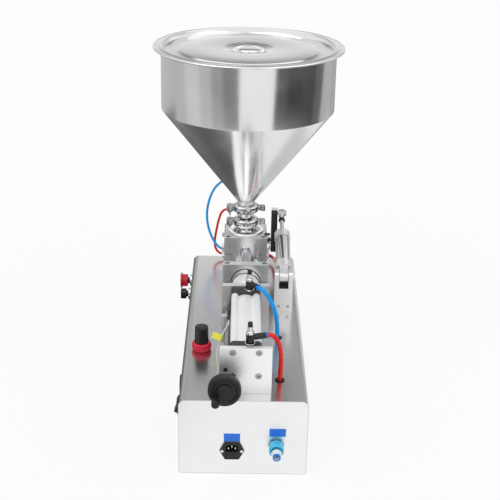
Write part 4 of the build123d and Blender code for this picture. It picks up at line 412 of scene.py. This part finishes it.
chrome = finish_of("chrome", (0.82, 0.82, 0.84), 0.08, (300, 40, 300), spread=0.03, shade=0.03)
seal_plastic = finish_of("seal_plastic", (0.93, 0.93, 0.92), 0.45, (400, 400, 400), metallic=0, shade=0.04)
eased(chrome, "drive_rod", edge=0)
eased(bright_steel, "rod_coupling")
eased(seal_plastic, "material_piston", edge=0)
eased(sawn_aluminium, "drive_piston")


# Split clamps of milled stainless steel hold the polished dosing tube against the valve block, in which a
# spool turns between two end plates. Thin black rubber rings at the tube's open end and at its seats are
# painted shade, standing in for the shadow in the gaps round the tube. A small black knob at the block's
# right edge is painted shade too, where the end of the spool's shaft lies in shadow, and a thin flat black
# bar lies beside it.

tube_steel = finish_of("tube_steel", (0.92, 0.92, 0.93), 0.13, (60, 900, 60), spread=0.03, shade=0.03)
clamp_steel = finish_of("clamp_steel", (0.58, 0.58, 0.59), 0.16, (500, 500, 500), spread=0.05)
clamp_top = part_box("upper_clamps")[1][2] - top_band
eased(milled_steel, "lower_clamps", "valve_block", edge=0.0006)
eased(milled_steel, "upper_clamps", edge=0.0006, also=[(ground_steel, lambda c: c.z > clamp_top)])
eased(bright_steel, "valve_glands", "valve_spool", edge=0.0006)
eased(tube_steel, "material_tube", edge=0.0003)


def turned(name, outline, centre, finish, steps=96, aim=(0, 0, 1), ring=False, body="base"):
    """A piece spun about its own axis from an outline of (radius, height) points."""
    lay = laid_along(centre, aim)
    bm = bmesh.new()
    wrap = bm.loops.layers.uv.new("wrap")
    rows, run, spans = [], 0.0, []
    for i, (r, h) in enumerate(outline):
        if i:
            run += math.dist(outline[i - 1], (r, h))
        spans.append(run)
        if r < 1e-7:
            rows.append([bm.verts.new(lay @ Vector((0, 0, h)))] * steps)
        else:
            angles = [2 * math.pi * k / steps for k in range(steps)]
            rows.append([bm.verts.new(lay @ Vector((r * math.cos(a), r * math.sin(a), h))) for a in angles])
    pairs = list(zip(rows, rows[1:], spans, spans[1:]))
    if ring:
        pairs.append((rows[-1], rows[0], run, run + math.dist(outline[-1], outline[0])))
    for low, high, v0, v1 in pairs:
        for k in range(steps):
            n = (k + 1) % steps
            corners = [(low[k], k, v0), (low[n], k + 1, v0), (high[n], k + 1, v1), (high[k], k, v1)]
            kept = [c for i, c in enumerate(corners) if c[0] not in [d[0] for d in corners[:i]]]
            if len(kept) > 2:
                face = bm.faces.new([c[0] for c in kept])
                for loop, (_, u, v) in zip(face.loops, kept):
                    loop[wrap].uv = (u / steps, v)
    mesh = bpy.data.meshes.new(name)
    bm.to_mesh(mesh)
    bm.free()
    mesh.materials.append(finish)
    mesh.shade_smooth()
    mesh.set_sharp_from_angle(angle=math.radians(30))
    piece = bpy.data.objects.new(name, mesh)
    bpy.context.scene.collection.objects.link(piece)
    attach(piece, body)
    return piece


def arc(centre, radius, start, end, count=8):
    """Points of an outline that go round a corner, angles in degrees."""
    angles = [math.radians(start + (end - start) * k / count) for k in range(count + 1)]
    return [(centre[0] + radius * math.cos(a), centre[1] + radius * math.sin(a)) for a in angles]


tube_low, tube_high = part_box("material_tube")
tube_outer_r, ring_proud = 0.0335, 0.0004
tube_x, tube_z = tube_low[0] + tube_outer_r, (tube_low[2] + tube_high[2]) / 2


def gap_shade_ring(name, inner_r, outer_r, depth, face_y):
    """A thin black ring round the tube's axis, a little proud of the face that it sits in: painted shade for
    the gap round the tube.
    """
    outline = [(inner_r, -ring_proud), (outer_r, -ring_proud), (outer_r, depth), (inner_r, depth)]
    piece = turned(name, outline, (tube_x, face_y, tube_z), rubber, aim=(0, 1, 0), ring=True)


# These three black rings are painted shade: the gaps round the tube lie in shadow.
gap_shade_ring("tube_end_shade_ring", 0.0312, 0.0327, 0.0002, tube_low[1])
for name, node in (("clamp_gap_shade_ring", "upper_clamps"), ("block_gap_shade_ring", "valve_block")):
    gap_shade_ring(name, 0.0334, 0.0347, 0.0010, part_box(node)[0][1])
# The black knob is painted shade: it stands where the end of the spool's shaft lies in shadow.
shaft_shade_outline = [
    (0.0, -0.0005), (0.0025, -0.0005), (0.0025, 0.003), (0.0048, 0.003), (0.0052, 0.0034), (0.0052, 0.0084),
    (0.0047, 0.009), (0.0, 0.0092),
]
shaft_shade_place, bar_low, bar_high = (0.0555, 0.244, 0.268), (0.049, 0.240, 0.2809), (0.063, 0.248, 0.2840)
shaft_shade_knob = turned("shaft_shade_knob", shaft_shade_outline, shaft_shade_place, moulded_black, steps=32, aim=(1, 0, 0))
side_bar = plate("side_bar", bar_low, bar_high, moulded_black)


# The lever that turns the spool is a tapered black bar, clamped on the spool's shaft. A thin bright
# steel plate on its upper end is a painted highlight, where light runs along the lever's top.

black_bar = finish_of("black_bar", (0.022, 0.022, 0.024), 0.35, (300, 300, 900), metallic=0.2, shine=0.4)
eased(black_bar, "valve_lever", edge=0.0006)
highlight_low, highlight_high = (0.0658, 0.2700, 0.3346), (0.0812, 0.2860, 0.3368)
lever_top_highlight = plate("lever_top_highlight", highlight_low, highlight_high, bright_steel, body="valve")


# A flared neck and a short pipe, both of polished stainless steel, carry the product down to the
# block. Cast hinged clamps, drawn shut by a tie bolt and a wing nut, join their ferrules.

eased(tube_steel, "feed_neck", "neck_pipe", edge=0.0002)
eased(clamp_steel, "tri_clamps", edge=0.0003)


# The hopper is a spun cone under a rolled cylinder of thin stainless sheet, with a flat brim
# rolled at its edge. It is brushed round its axis, so light runs down it in bands.

spun_steel = finish_of("spun_steel", (0.80, 0.80, 0.80), 0.20, (24, 1500, 1), spread=0.05, shade=0.05,
                       coords="UV", streak=0.6)
hopper_axis = (0.003, 0.278, 0)
hopper_outline = [
    (0.01375, 0.339), (0.02525, 0.339), (0.02525, 0.342), (0.0203, 0.3424), (0.02, 0.343), (0.02, 0.3555),
    (0.0204, 0.3565), (0.2046, 0.5935), (0.205, 0.5945), (0.205, 0.738), (0.2062, 0.7392), (0.208, 0.7395),
    (0.2205, 0.7382), *arc((0.221, 0.7385), 0.0025, -120, 130), (0.2180, 0.7406), (0.2065, 0.741),
    (0.2041, 0.7403), (0.2035, 0.739), (0.2035, 0.5945), (0.2031, 0.5935), (0.0188, 0.3562), (0.0185, 0.355),
    (0.0185, 0.3424), (0.01375, 0.3418),
]
hopper = turned("spun_hopper", hopper_outline, hopper_axis, spun_steel, steps=192, ring=True)
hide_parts("hopper")


# The lid is one pressed sheet of stainless steel with a raised field and a dished middle. Its grip,
# a bright turned button on a stem, is fixed in a bowl at the centre.

lid_steel = finish_of("lid_steel", (0.78, 0.78, 0.78), 0.18, (24, 1500, 1), spread=0.05, shade=0.04,
                      coords="UV", streak=0.4)
lid_top = [
    (0.0, 0.719), (0.036, 0.719), (0.0375, 0.7198), (0.0388, 0.724), (0.0408, 0.7312), (0.0425, 0.732),
    (0.0495, 0.7322), (0.053, 0.7332), (0.0585, 0.7348), (0.062, 0.7352), (0.115, 0.7355), (0.162, 0.7352),
    (0.1645, 0.7345), (0.167, 0.7322), (0.17, 0.7312), (0.1975, 0.7312), (0.1995, 0.732), (0.2003, 0.7345),
    (0.2010, 0.7412), (0.2025, 0.7422), (0.2095, 0.7422), (0.211, 0.7416),
]
lid_sheet, lid_lip = 0.0011, (0.2108, 0.7411)
lid_outline = [*((r, h - lid_sheet) for r, h in lid_top[:-1]), lid_lip, *reversed(lid_top)]
lid = turned("pressed_lid", lid_outline, hopper_axis, lid_steel, steps=192, body="lid")
grip_outline = [
    (0.0, 0.7192), (0.0095, 0.7192), (0.0075, 0.7205), (0.007, 0.723), (0.0072, 0.726), (0.009, 0.7272),
    *arc((0.0245, 0.7297), 0.0025, -90, 60, 6), (0.0215, 0.7338), (0.012, 0.7348), (0.0, 0.7352),
]
grip = turned("lid_grip", grip_outline, hopper_axis, chrome, steps=64, body="lid")
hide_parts("lid")


# The nozzle hangs from the block's outlet, an upright tee of stainless steel that narrows to its
# tip. A small anodised air cylinder on top lifts the polished plug that shuts it from inside.

eased(bright_steel, "nozzle_body", edge=0.0004)
eased(pale_extrusion, "nozzle_cylinder", edge=0.0003)
eased(chrome, "nozzle_plug", edge=0)


# The actuator is a slim cylinder that tilts in a slotted steel bracket and pushes the lever's eye.
# Its caps are cast aluminium, its tube is drawn stainless steel, and its elbow is black plastic.
# A rubber pad lies in the bracket's slot, and two screws are driven into the bracket's face.

cast_aluminium = finish_of("cast_aluminium", (0.80, 0.80, 0.81), 0.36, (700, 700, 700), metallic=0.6,
                           shade=0.04, relief=0.00005)
drawn_tube = finish_of("drawn_tube", (0.62, 0.62, 0.63), 0.14, (500, 60, 500), spread=0.04)
pivot = Vector((0.091, 0.055, 0.253))
eye_run, eye_rise = 0.223, 0.072
actuator_pitch = math.atan2(eye_rise, eye_run)
actuator_line = Vector((0, math.cos(actuator_pitch), math.sin(actuator_pitch)))
tube_start, tube_end, tube_inner_off, tube_outer_off = 0.0452, 0.1328, 0.0165, 0.0178
elbow_off, elbow_end, eye_start = 0.0195, 0.06, 0.2105


def off_line(c):
    """How far along the actuator's axis a point lies, and how far off it."""
    along = (c - pivot).dot(actuator_line)
    return along, (c - pivot - actuator_line * along).length


def on_tube(c):
    along, off = off_line(c)
    return tube_start < along < tube_end and tube_inner_off < off < tube_outer_off


def on_elbow(c):
    along, off = off_line(c)
    return along < elbow_end and off > elbow_off


eased(ground_steel, "actuator_bracket", edge=0.0006)
eased(cast_aluminium, "actuator_cylinder", edge=0, also=[(drawn_tube, on_tube), (gloss_black, on_elbow)])
eased(chrome, "actuator_rod", edge=0)
eased(screw_steel, "rod_eye", edge=0, also=[(black_bar, lambda c: off_line(c)[0] < eye_start)])
pad_low, pad_high = (0.0805, 0.0415, 0.2288), (0.1015, 0.0685, 0.2345)
slot_pad = plate("slot_pad", pad_low, pad_high, rubber)
screw_outline = [
    (0.0, -0.0002), (0.0032, -0.0002), (0.0032, 0.0016), (0.0028, 0.0021), (0.0016, 0.0022), (0.0014, 0.0010),
    (0.0, 0.0009),
]
bracket_front_y, screw_z = 0.040, 0.1850
for side, x in (("left", 0.0805), ("right", 0.1015)):
    screw = turned("bracket_screw_" + side, screw_outline, (x, bracket_front_y, screw_z), screw_steel,
                   steps=24, aim=(0, -1, 0))


# The stroke handwheel is black moulded plastic, dished round its hub, with a handle that turns on
# a pin. It sits on a steel screw, which has four threads of ten millimetres a turn between the two
# plates.

wheel_black = finish_of("wheel_black", (0.014, 0.014, 0.015), 0.40, (1200, 1200, 1200), metallic=0,
                        relief=0.00012, shine=0.3)
eased(wheel_black, "handwheel", "wheel_handle", edge=0.0004)
screw_start, thread_start = (-0.038, -0.382, 0.204), 0.0593
thread_core_r, thread_wire_r, thread_starts, thread_turns, thread_length = 0.00455, 0.00045, 4, 28.0, 0.280
core_outline = [
    (0.0, 0.0), (0.0048, 0.0), (0.005, 0.0003), (0.005, 0.0585), (thread_core_r, 0.059),
    (thread_core_r, 0.3395), (0.005, 0.340), (0.005, 0.354), (0.0, 0.354),
]
core = turned("stop_screw_core", core_outline, screw_start, screw_steel, steps=32, aim=(0, 1, 0),
              body="wheel")
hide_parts("lead_screw")


def stop_thread():
    """The four threads: one spiral, repeated at quarter turns, with a wire's round section."""
    tree, wanted = layout_tree("stop_screw_thread", (
        ("Starts", "Int", thread_starts), ("Turns", "Float", thread_turns),
        ("Length", "Float", thread_length), ("Core radius", "Float", thread_core_r),
        ("Wire radius", "Float", thread_wire_r),
    ))
    parts, link = tree.nodes, tree.links.new
    given = parts.new("NodeGroupInput")
    spiral = parts.new("GeometryNodeCurveSpiral")
    spiral.inputs["Resolution"].default_value = 20
    link(given.outputs["Turns"], spiral.inputs["Rotations"])
    link(given.outputs["Core radius"], spiral.inputs["Start Radius"])
    link(given.outputs["Core radius"], spiral.inputs["End Radius"])
    link(given.outputs["Length"], spiral.inputs["Height"])
    spots = parts.new("GeometryNodePoints")
    link(given.outputs["Starts"], spots.inputs["Count"])
    share = parts.new("ShaderNodeMath")
    share.operation = "DIVIDE"
    link(parts.new("GeometryNodeInputIndex").outputs[0], share.inputs[0])
    link(given.outputs["Starts"], share.inputs[1])
    angle = parts.new("ShaderNodeMath")
    angle.operation = "MULTIPLY"
    angle.inputs[1].default_value = 2 * math.pi
    link(share.outputs[0], angle.inputs[0])
    facing = parts.new("ShaderNodeCombineXYZ")
    link(angle.outputs[0], facing.inputs["Z"])
    scatter = parts.new("GeometryNodeInstanceOnPoints")
    link(spots.outputs[0], scatter.inputs["Points"])
    link(spiral.outputs[0], scatter.inputs["Instance"])
    link(facing.outputs[0], scatter.inputs["Rotation"])
    lines = parts.new("GeometryNodeRealizeInstances")
    link(scatter.outputs[0], lines.inputs[0])
    section = parts.new("GeometryNodeCurvePrimitiveCircle")
    section.inputs["Resolution"].default_value = 6
    link(given.outputs["Wire radius"], section.inputs["Radius"])
    wire = parts.new("GeometryNodeCurveToMesh")
    wire.inputs["Fill Caps"].default_value = True
    link(lines.outputs[0], wire.inputs["Curve"])
    link(section.outputs[0], wire.inputs["Profile Curve"])
    made_real(parts, link, wire.outputs[0], screw_steel)
    lay = laid_along((screw_start[0], screw_start[1] + thread_start, screw_start[2]), (0, 1, 0))
    return grown("stop_screw_thread", tree, wanted, lay, "wheel")


stop_thread()


# The screw moves a steel carriage that holds the stroke's reed sensor, whose cable has a folded
# yellow marker. A small moulded screw on the rear plate locks the setting.

eased(bright_steel, "sensor_carriage")
eased(gloss_black, "reed_sensor")
tag_yellow = finish_of("tag_yellow", (0.90, 0.85, 0.08), 0.5, (600, 600, 600), metallic=0, shade=0.05)
eased(tag_yellow, "cable_tag", edge=0)
locking_outline = [(0.0, -0.0005), (0.0044, -0.0005), (0.0044, 0.0030), (0.0039, 0.0036), (0.0, 0.0037)]
locking_place = (-0.037, -0.336, 0.2266)
locking_screw = turned("locking_screw", locking_outline, locking_place, moulded_black, steps=24,
                       aim=(0, -1, 0))


# Push-in fittings are screwed into the cylinders and the table: black moulded bodies on bright
# nickel threads. The two flow controls stand on nickel washers, and each has a nickel dome and neck
# under its round black knob.

control_x, cap_top_z, near_y, far_y = 0.011, 0.2695, -0.310, -0.056
control_neck_r, control_body_h, control_washer_h = 0.0063, 0.023, 0.003
body_top_z = cap_top_z + control_body_h
nozzle_fittings_y, nozzle_thread_x, table_thread_z = 0.38, -0.0235, 0.1765


def on_flow_neck(c):
    """Whether a point is on the neck or the thread of one of the two flow controls."""
    on_neck = min(math.hypot(c.x - control_x, c.y - y) for y in (near_y, far_y)) < control_neck_r
    on_thread = cap_top_z - 0.001 < c.z < cap_top_z + control_washer_h
    return c.y < 0 and (on_thread or (on_neck and c.z > body_top_z + 0.0002))


eased(gloss_black, "air_fittings", edge=0.0003, also=[
    (nickel, on_flow_neck),
    (nickel, lambda c: c.y > nozzle_fittings_y and c.x > nozzle_thread_x),
    (nickel, lambda c: c.y > 0 and c.z < table_thread_z),
])
eased(moulded_black, "flow_knob_near", "flow_knob_far", edge=0.0002)
washer_outline = [
    (0.005, 0.0001), (0.0102, 0.0001), (0.0105, 0.0004), (0.0105, 0.0033), (0.0101, 0.0037), (0.005, 0.0037),
]
dome_outline = [
    (0.005, 0.0), (0.0076, 0.0), (0.008, 0.0006), (0.008, 0.004), *arc((0.0056, 0.004), 0.0024, 10, 90, 6),
    (0.005, 0.0064),
]
for end, y in (("near", near_y), ("far", far_y)):
    for kind, outline, z in (("washer", washer_outline, cap_top_z), ("dome", dome_outline, body_top_z)):
        piece = turned(f"flow_{kind}_{end}", outline, (control_x, y, z), nickel, steps=40, ring=True)


# The hoses are polyurethane tube, and the sensor's cable has a pale plastic sheath. Each lies on
# one smooth line through its route. The hoses are pushed into fittings with blue release collars.


def hose_line(name, route):
    """The hose's centre line as one smooth open curve."""
    line = bpy.data.curves.new(name, "CURVE")
    line.dimensions = "3D"
    line.resolution_u = 16
    spline = line.splines.new("NURBS")
    spline.points.add(len(route) - 1)
    for point, place in zip(spline.points, route):
        point.co = (*place, 1)
    spline.order_u = 3
    spline.use_endpoint_u = True
    piece = bpy.data.objects.new(name, line)
    bpy.context.scene.collection.objects.link(piece)
    return piece


def laid_hose(name, route, radius, finish, node, moves_with=None):
    """A hose that stays on the housing; one that runs to a moving body is baked in place and attached to no
    body.
    """
    smooth_line = hose_line(name + "_line", route)
    bpy.context.view_layer.update()
    graph = bpy.context.evaluated_depsgraph_get()
    path = [tuple(v.co) for v in bpy.data.meshes.new_from_object(smooth_line.evaluated_get(graph)).vertices]
    smooth_line.data.bevel_depth = radius
    smooth_line.data.bevel_resolution = 5
    smooth_line.data.use_fill_caps = True
    bpy.context.view_layer.update()
    graph = bpy.context.evaluated_depsgraph_get()
    mesh = bpy.data.meshes.new_from_object(smooth_line.evaluated_get(graph))
    bpy.data.objects.remove(smooth_line)
    mesh.shade_smooth()
    piece = bpy.data.objects.new(name, mesh)
    bpy.context.scene.collection.objects.link(piece)
    if moves_with:
        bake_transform(piece)
    else:
        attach(piece, "base")
    piece.data.materials.append(finish)
    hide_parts(node)
    return piece


def collar(name, place, aim, radius, length, body="base"):
    """The release ring that a hose is pushed into, at the mouth of a fitting."""
    outline = [
        (radius + 0.0001, -0.0010), (radius + 0.0012, -0.0010), (radius + 0.0012, length * 0.6),
        (radius + 0.0018, length * 0.7), (radius + 0.0018, length), (radius + 0.0002, length + 0.0002),
    ]
    piece = turned(name, outline, place, collar_blue, steps=32, aim=aim, ring=True, body=body)
    return piece


hose_red = finish_of("hose_red", (0.86, 0.016, 0.006), 0.25, (300, 300, 300), metallic=0, shade=0.06,
                     shine=0.35)
hose_blue = finish_of("hose_blue", (0.0, 0.36, 0.88), 0.25, (300, 300, 300), metallic=0, shade=0.06,
                      shine=0.35)
cable_white = finish_of("cable_white", (0.72, 0.72, 0.70), 0.35, (300, 300, 300), metallic=0, shade=0.04)
drive_hose_r, nozzle_hose_r, actuator_hose_r, cable_r = 0.00475, 0.003, 0.004, 0.002
near_mouth, far_mouth = (0.0411, -0.3008, 0.2850), (0.0283, -0.0727, 0.2850)
lower_port, upper_port = (-0.0370, 0.3920, 0.2910), (-0.0370, 0.3920, 0.3700)
red_elbow, blue_elbow = (-0.0440, 0.3520, 0.1820), (-0.0440, 0.3340, 0.2030)
actuator_port, actuator_elbow = (0.0910, 0.1164, 0.2361), (0.0460, 0.3420, 0.1860)
laid_hose("hose_to_near_control", [
    near_mouth, (0.0507, -0.2979, 0.285), (0.0587, -0.2941, 0.28), (0.0652, -0.2902, 0.2704),
    (0.0706, -0.2864, 0.257), (0.0738, -0.2834, 0.2405), (0.0754, -0.2812, 0.2225), (0.0752, -0.2798, 0.204),
    (0.0744, -0.2793, 0.186), (0.074, -0.2795, 0.168), (0.074, -0.2789, 0.141), (0.074, -0.2775, 0.112),
    (0.074, -0.271, 0.0905), (0.074, -0.2595, 0.0775), (0.074, -0.245, 0.072), (0.074, -0.233, 0.072),
], drive_hose_r, hose_red, "red_drive_hose")
laid_hose("hose_to_far_control", [
    far_mouth, (0.0355, -0.0796, 0.285), (0.0436, -0.0844, 0.2796), (0.0523, -0.0868, 0.269),
    (0.0602, -0.0882, 0.2552), (0.0664, -0.0894, 0.2386), (0.0709, -0.0906, 0.2206),
    (0.0731, -0.0914, 0.2024), (0.0739, -0.0918, 0.185), (0.074, -0.092, 0.168), (0.074, -0.0928, 0.138),
    (0.074, -0.0965, 0.11), (0.074, -0.1055, 0.088), (0.074, -0.12, 0.0755), (0.074, -0.127, 0.072),
    (0.074, -0.139, 0.072),
], drive_hose_r, hose_blue, "blue_drive_hose")
laid_hose("hose_to_lower_port", [
    lower_port, (-0.049, 0.392, 0.291), (-0.0595, 0.39, 0.2835), (-0.066, 0.385, 0.266),
    (-0.071, 0.379, 0.243), (-0.0753, 0.371, 0.22), (-0.0762, 0.361, 0.201), (-0.0685, 0.3535, 0.187),
    (-0.056, 0.352, 0.182), red_elbow,
], nozzle_hose_r, hose_red, "red_nozzle_hose")
laid_hose("hose_to_upper_port", [
    upper_port, (-0.049, 0.392, 0.37), (-0.065, 0.391, 0.363), (-0.08, 0.388, 0.346),
    (-0.091, 0.382, 0.321), (-0.0968, 0.3745, 0.293), (-0.0958, 0.3665, 0.265), (-0.089, 0.3575, 0.24),
    (-0.0785, 0.347, 0.221), (-0.067, 0.338, 0.2085), (-0.055, 0.334, 0.203), blue_elbow,
], nozzle_hose_r, hose_blue, "blue_nozzle_hose")
laid_hose("hose_to_actuator", [
    actuator_port, (0.091, 0.1404, 0.2361), (0.0885, 0.181, 0.2265), (0.0845, 0.22, 0.2135),
    (0.0805, 0.258, 0.201), (0.0785, 0.288, 0.1925), (0.077, 0.313, 0.187), (0.0715, 0.332, 0.1855),
    (0.06, 0.342, 0.186), actuator_elbow,
], actuator_hose_r, hose_red, "actuator_hose",
    moves_with=("actuator", (0.074, 0.315, 0.185), (0.091, 0.13, 0.2361)))
laid_hose("sensor_lead", [
    (-0.0338, -0.1020, 0.2170), (-0.0338, -0.1150, 0.2170), (-0.0385, -0.1300, 0.2140),
    (-0.0465, -0.1455, 0.2060), (-0.0535, -0.1615, 0.1945), (-0.0570, -0.1780, 0.1830),
    (-0.0562, -0.1970, 0.1755), (-0.0544, -0.2170, 0.1732), (-0.0532, -0.2390, 0.1730),
    (-0.0532, -0.2610, 0.1738), (-0.0540, -0.2820, 0.1785), (-0.0550, -0.3010, 0.1875),
    (-0.0556, -0.3175, 0.1975), (-0.0560, -0.3315, 0.2010), (-0.0560, -0.3400, 0.1920),
    (-0.0560, -0.3400, 0.1800),
], cable_r, cable_white, "sensor_cable",
    moves_with=("carriage", (-0.055, -0.3000, 0.19), (-0.0338, -0.1150, 0.217)))
short_collar, long_collar = 0.003, 0.0045
for name, place, aim, radius, length, body in (
    ("collar_near_control", near_mouth, (0.0096, 0.0029, 0), drive_hose_r, long_collar, "base"),
    ("collar_far_control", far_mouth, (0.0072, -0.0069, 0), drive_hose_r, long_collar, "base"),
    ("collar_lower_port", lower_port, (-1, 0, 0), nozzle_hose_r, short_collar, "base"),
    ("collar_upper_port", upper_port, (-1, 0, 0), nozzle_hose_r, short_collar, "base"),
    ("collar_red_elbow", red_elbow, (-1, 0, 0), nozzle_hose_r, short_collar, "base"),
    ("collar_blue_elbow", blue_elbow, (-1, 0, 0), nozzle_hose_r, short_collar, "base"),
    ("collar_actuator_elbow", actuator_elbow, (1, 0, 0), actuator_hose_r, short_collar, "base"),
    ("collar_actuator_port", actuator_port, (0, 1, 0), actuator_hose_r, short_collar, "actuator"),
):
    collar(name, place, aim, radius, length, body)


# A plain pale floor, soft light from both sides and from behind, and a white sky that lights
# things at half the strength that the camera sees. Polished steel mirrors the grey screens, which
# stand or lie out of sight, as its dark and light bands.


def seen_or_mirrored(parts, link):
    """A socket that is one where the camera, a mirror or a lens looks, and nought where light falls."""
    ray = parts.new("ShaderNodeLightPath")
    mirrored = parts.new("ShaderNodeMath")
    mirrored.operation = "MAXIMUM"
    link(ray.outputs["Is Glossy Ray"], mirrored.inputs[0])
    link(ray.outputs["Is Transmission Ray"], mirrored.inputs[1])
    seen = parts.new("ShaderNodeMath")
    seen.operation = "MAXIMUM"
    link(ray.outputs["Is Camera Ray"], seen.inputs[0])
    link(mirrored.outputs[0], seen.inputs[1])
    return seen.outputs[0]


def lit_surface(name, colour, level):
    """A plain surface that the camera and mirrors see at one level, with a soft shadow on it."""
    finish = bpy.data.materials.new(name)
    finish.use_nodes = True
    parts, link = finish.node_tree.nodes, finish.node_tree.links.new
    shader = parts["Principled BSDF"]
    shader.inputs["Base Color"].default_value = colour
    shader.inputs["Roughness"].default_value = 0.9
    shader.inputs["Specular IOR Level"].default_value = 0.1
    part_of = parts.new("ShaderNodeMath")
    part_of.operation = "MULTIPLY"
    part_of.inputs[1].default_value = level
    link(seen_or_mirrored(parts, link), part_of.inputs[0])
    glow = parts.new("ShaderNodeEmission")
    glow.inputs["Color"].default_value = (1, 1, 1, 1)
    mixed = parts.new("ShaderNodeMixShader")
    link(part_of.outputs[0], mixed.inputs["Fac"])
    link(shader.outputs[0], mixed.inputs[1])
    link(glow.outputs[0], mixed.inputs[2])
    link(mixed.outputs[0], parts["Material Output"].inputs["Surface"])
    return finish


def staged(name, corners, faces, finish):
    """A piece of the studio, which is no part of the object."""
    mesh = bpy.data.meshes.new(name)
    mesh.from_pydata(corners, [], faces)
    mesh.materials.append(finish)
    piece = bpy.data.objects.new(name, mesh)
    bpy.context.scene.collection.objects.link(piece)
    return piece


pale_floor = lit_surface("pale_floor", (0.93, 0.93, 0.93, 1), 0.86)
reach = 14
staged("floor", [(-reach, -reach, 0), (reach, -reach, 0), (reach, reach, 0), (-reach, reach, 0)],
       [(0, 1, 2, 3)], pale_floor)


def screen(name, corners, faces, grey):
    """A screen that only polished surfaces see, at one grey level."""
    finish = bpy.data.materials.new(name)
    finish.use_nodes = True
    parts = finish.node_tree.nodes
    shader = parts["Principled BSDF"]
    shader.inputs["Base Color"].default_value = (0, 0, 0, 1)
    shader.inputs["Specular IOR Level"].default_value = 0.0
    shader.inputs["Emission Color"].default_value = (grey, grey, grey, 1)
    shader.inputs["Emission Strength"].default_value = 1.0
    piece = staged(name, corners, faces, finish)
    piece.visible_camera = False
    piece.visible_diffuse = False
    piece.visible_transmission = False
    piece.visible_shadow = False
    return piece


def curved_screen(name, start, end, radius, low, high, grey, count=12):
    """A standing screen round the hopper's axis, its angles counted rightwards from the camera's side."""
    angles = [math.radians(start + (end - start) * k / count) for k in range(count + 1)]
    track = [(hopper_axis[0] + radius * math.sin(a), hopper_axis[1] - radius * math.cos(a)) for a in angles]
    corners = [(x, y, low) for x, y in track] + [(x, y, high) for x, y in track]
    faces = [(k, k + 1, k + count + 2, k + count + 1) for k in range(count)]
    return screen(name, corners, faces, grey)


screen_r, foot, waist, top = 0.9, 0.01, 0.27, 0.75
for name, start, end, low, high, grey in (
    ("dark_right", 31, 46, foot, top, 0.10), ("dark_right_2", 46, 66, foot, top, 0.05),
    ("dark_right_3", 66, 88, foot, top, 0.07), ("dim_right", 88, 103, foot, top, 0.14),
    ("grey_right", 103, 128, foot, top, 0.50), ("grey_right_2", 128, 172, 0.25, top, 0.42),
    ("dim_left", -30, -11, foot, top, 0.23), ("dim_left_2", -44, -30, foot, top, 0.36),
    ("mid_left", -60, -44, foot, top, 0.52), ("grey_left", -82, -60, foot, top, 0.66),
    ("grey_left_2", -105, -82, foot, top, 0.54), ("grey_far_left", -165, -105, waist, top, 0.55),
    ("low_far_left", -165, -105, foot, waist, 0.22),
):
    curved_screen(name, start, end, screen_r, low, high, grey)
mat_z = 0.003
for name, x0, x1, y0, y1, grey in (
    ("mat_left", -0.70, -0.16, 0.30, 1.6, 0.13), ("mat_near_left", -0.70, -0.122, -0.06, 0.30, 0.11),
    ("mat_right", 0.16, 0.60, 0.20, 1.0, 0.66), ("mat_far_right", 0.16, 0.80, 1.0, 1.9, 0.50),
):
    screen(name, [(x0, y0, mat_z), (x1, y0, mat_z), (x1, y1, mat_z), (x0, y1, mat_z)], [(0, 1, 2, 3)], grey)
card_x, card_y = 2.2, 2.7
card_levels = [
    (1.05, 0.84), (1.30, 0.74), (1.46, 0.64), (1.58, 0.55), (1.70, 0.47), (1.84, 0.40), (2.0, 0.34),
    (2.3, 0.29), (2.8, 0.26), (3.4, 0.26),
]
for i, ((low, grey), (high, _)) in enumerate(zip(card_levels, card_levels[1:])):
    corners = [(-card_x, card_y, low), (card_x, card_y, low), (card_x, card_y, high), (-card_x, card_y, high)]
    screen(f"card_behind_{i}", corners, [(0, 1, 2, 3)], grey)
for name, strength, spread, tilt, heading in (
    ("left_sun", 1.00, 60, 42, -50), ("right_sun", 0.55, 70, 50, 60), ("back_sun", 0.30, 80, 40, 170),
):
    lamp = bpy.data.lights.new(name, "SUN")
    lamp.energy = strength
    lamp.angle = math.radians(spread)
    sun = bpy.data.objects.new(name, lamp)
    bpy.context.scene.collection.objects.link(sun)
    sun.rotation_euler = (math.radians(tilt), 0, math.radians(heading))

world = bpy.data.worlds.new("studio")
bpy.context.scene.world = world
world.use_nodes = True
sky, wire = world.node_tree.nodes, world.node_tree.links.new
sky.clear()
fill_strength, backdrop_strength = 0.50, 1.0
choice = sky.new("ShaderNodeMixShader")
wire(seen_or_mirrored(sky, wire), choice.inputs["Fac"])
for socket, strength in ((1, fill_strength), (2, backdrop_strength)):
    white = sky.new("ShaderNodeBackground")
    white.inputs["Color"].default_value = (1, 1, 1, 1)
    white.inputs["Strength"].default_value = strength
    wire(white.outputs[0], choice.inputs[socket])
out = sky.new("ShaderNodeOutputWorld")
wire(choice.outputs[0], out.inputs["Surface"])


# The camera stands where the photograph was taken from: it faces the rear panel from above, tipped
# down by 23 degrees. Its focal length is told in pixels of a frame 500 wide.

pitch, yaw, roll = math.radians(22.84), math.radians(0.72), math.radians(1.13)
camera_place, focal_pixels, photo_pixels = (-0.01647, -2.20298, 1.26995), 1072.5, 500
ahead = Vector((math.sin(yaw) * math.cos(pitch), math.cos(yaw) * math.cos(pitch), -math.sin(pitch)))
right = Vector((math.cos(yaw), -math.sin(yaw), 0))
up = right.cross(ahead)
across = right * math.cos(roll) + up * math.sin(roll)
upward = up * math.cos(roll) - right * math.sin(roll)
camera_data = bpy.data.cameras.new("camera")
camera_data.sensor_width = 36
camera_data.lens = camera_data.sensor_width * focal_pixels / photo_pixels
camera_data.clip_end = 60
camera = bpy.data.objects.new("camera", camera_data)
bpy.context.scene.collection.objects.link(camera)
turn = Matrix((across, upward, -ahead)).transposed().to_4x4()
camera.matrix_world = Matrix.Translation(camera_place) @ turn
bpy.context.scene.camera = camera
bpy.context.scene.view_settings.view_transform = "Standard"
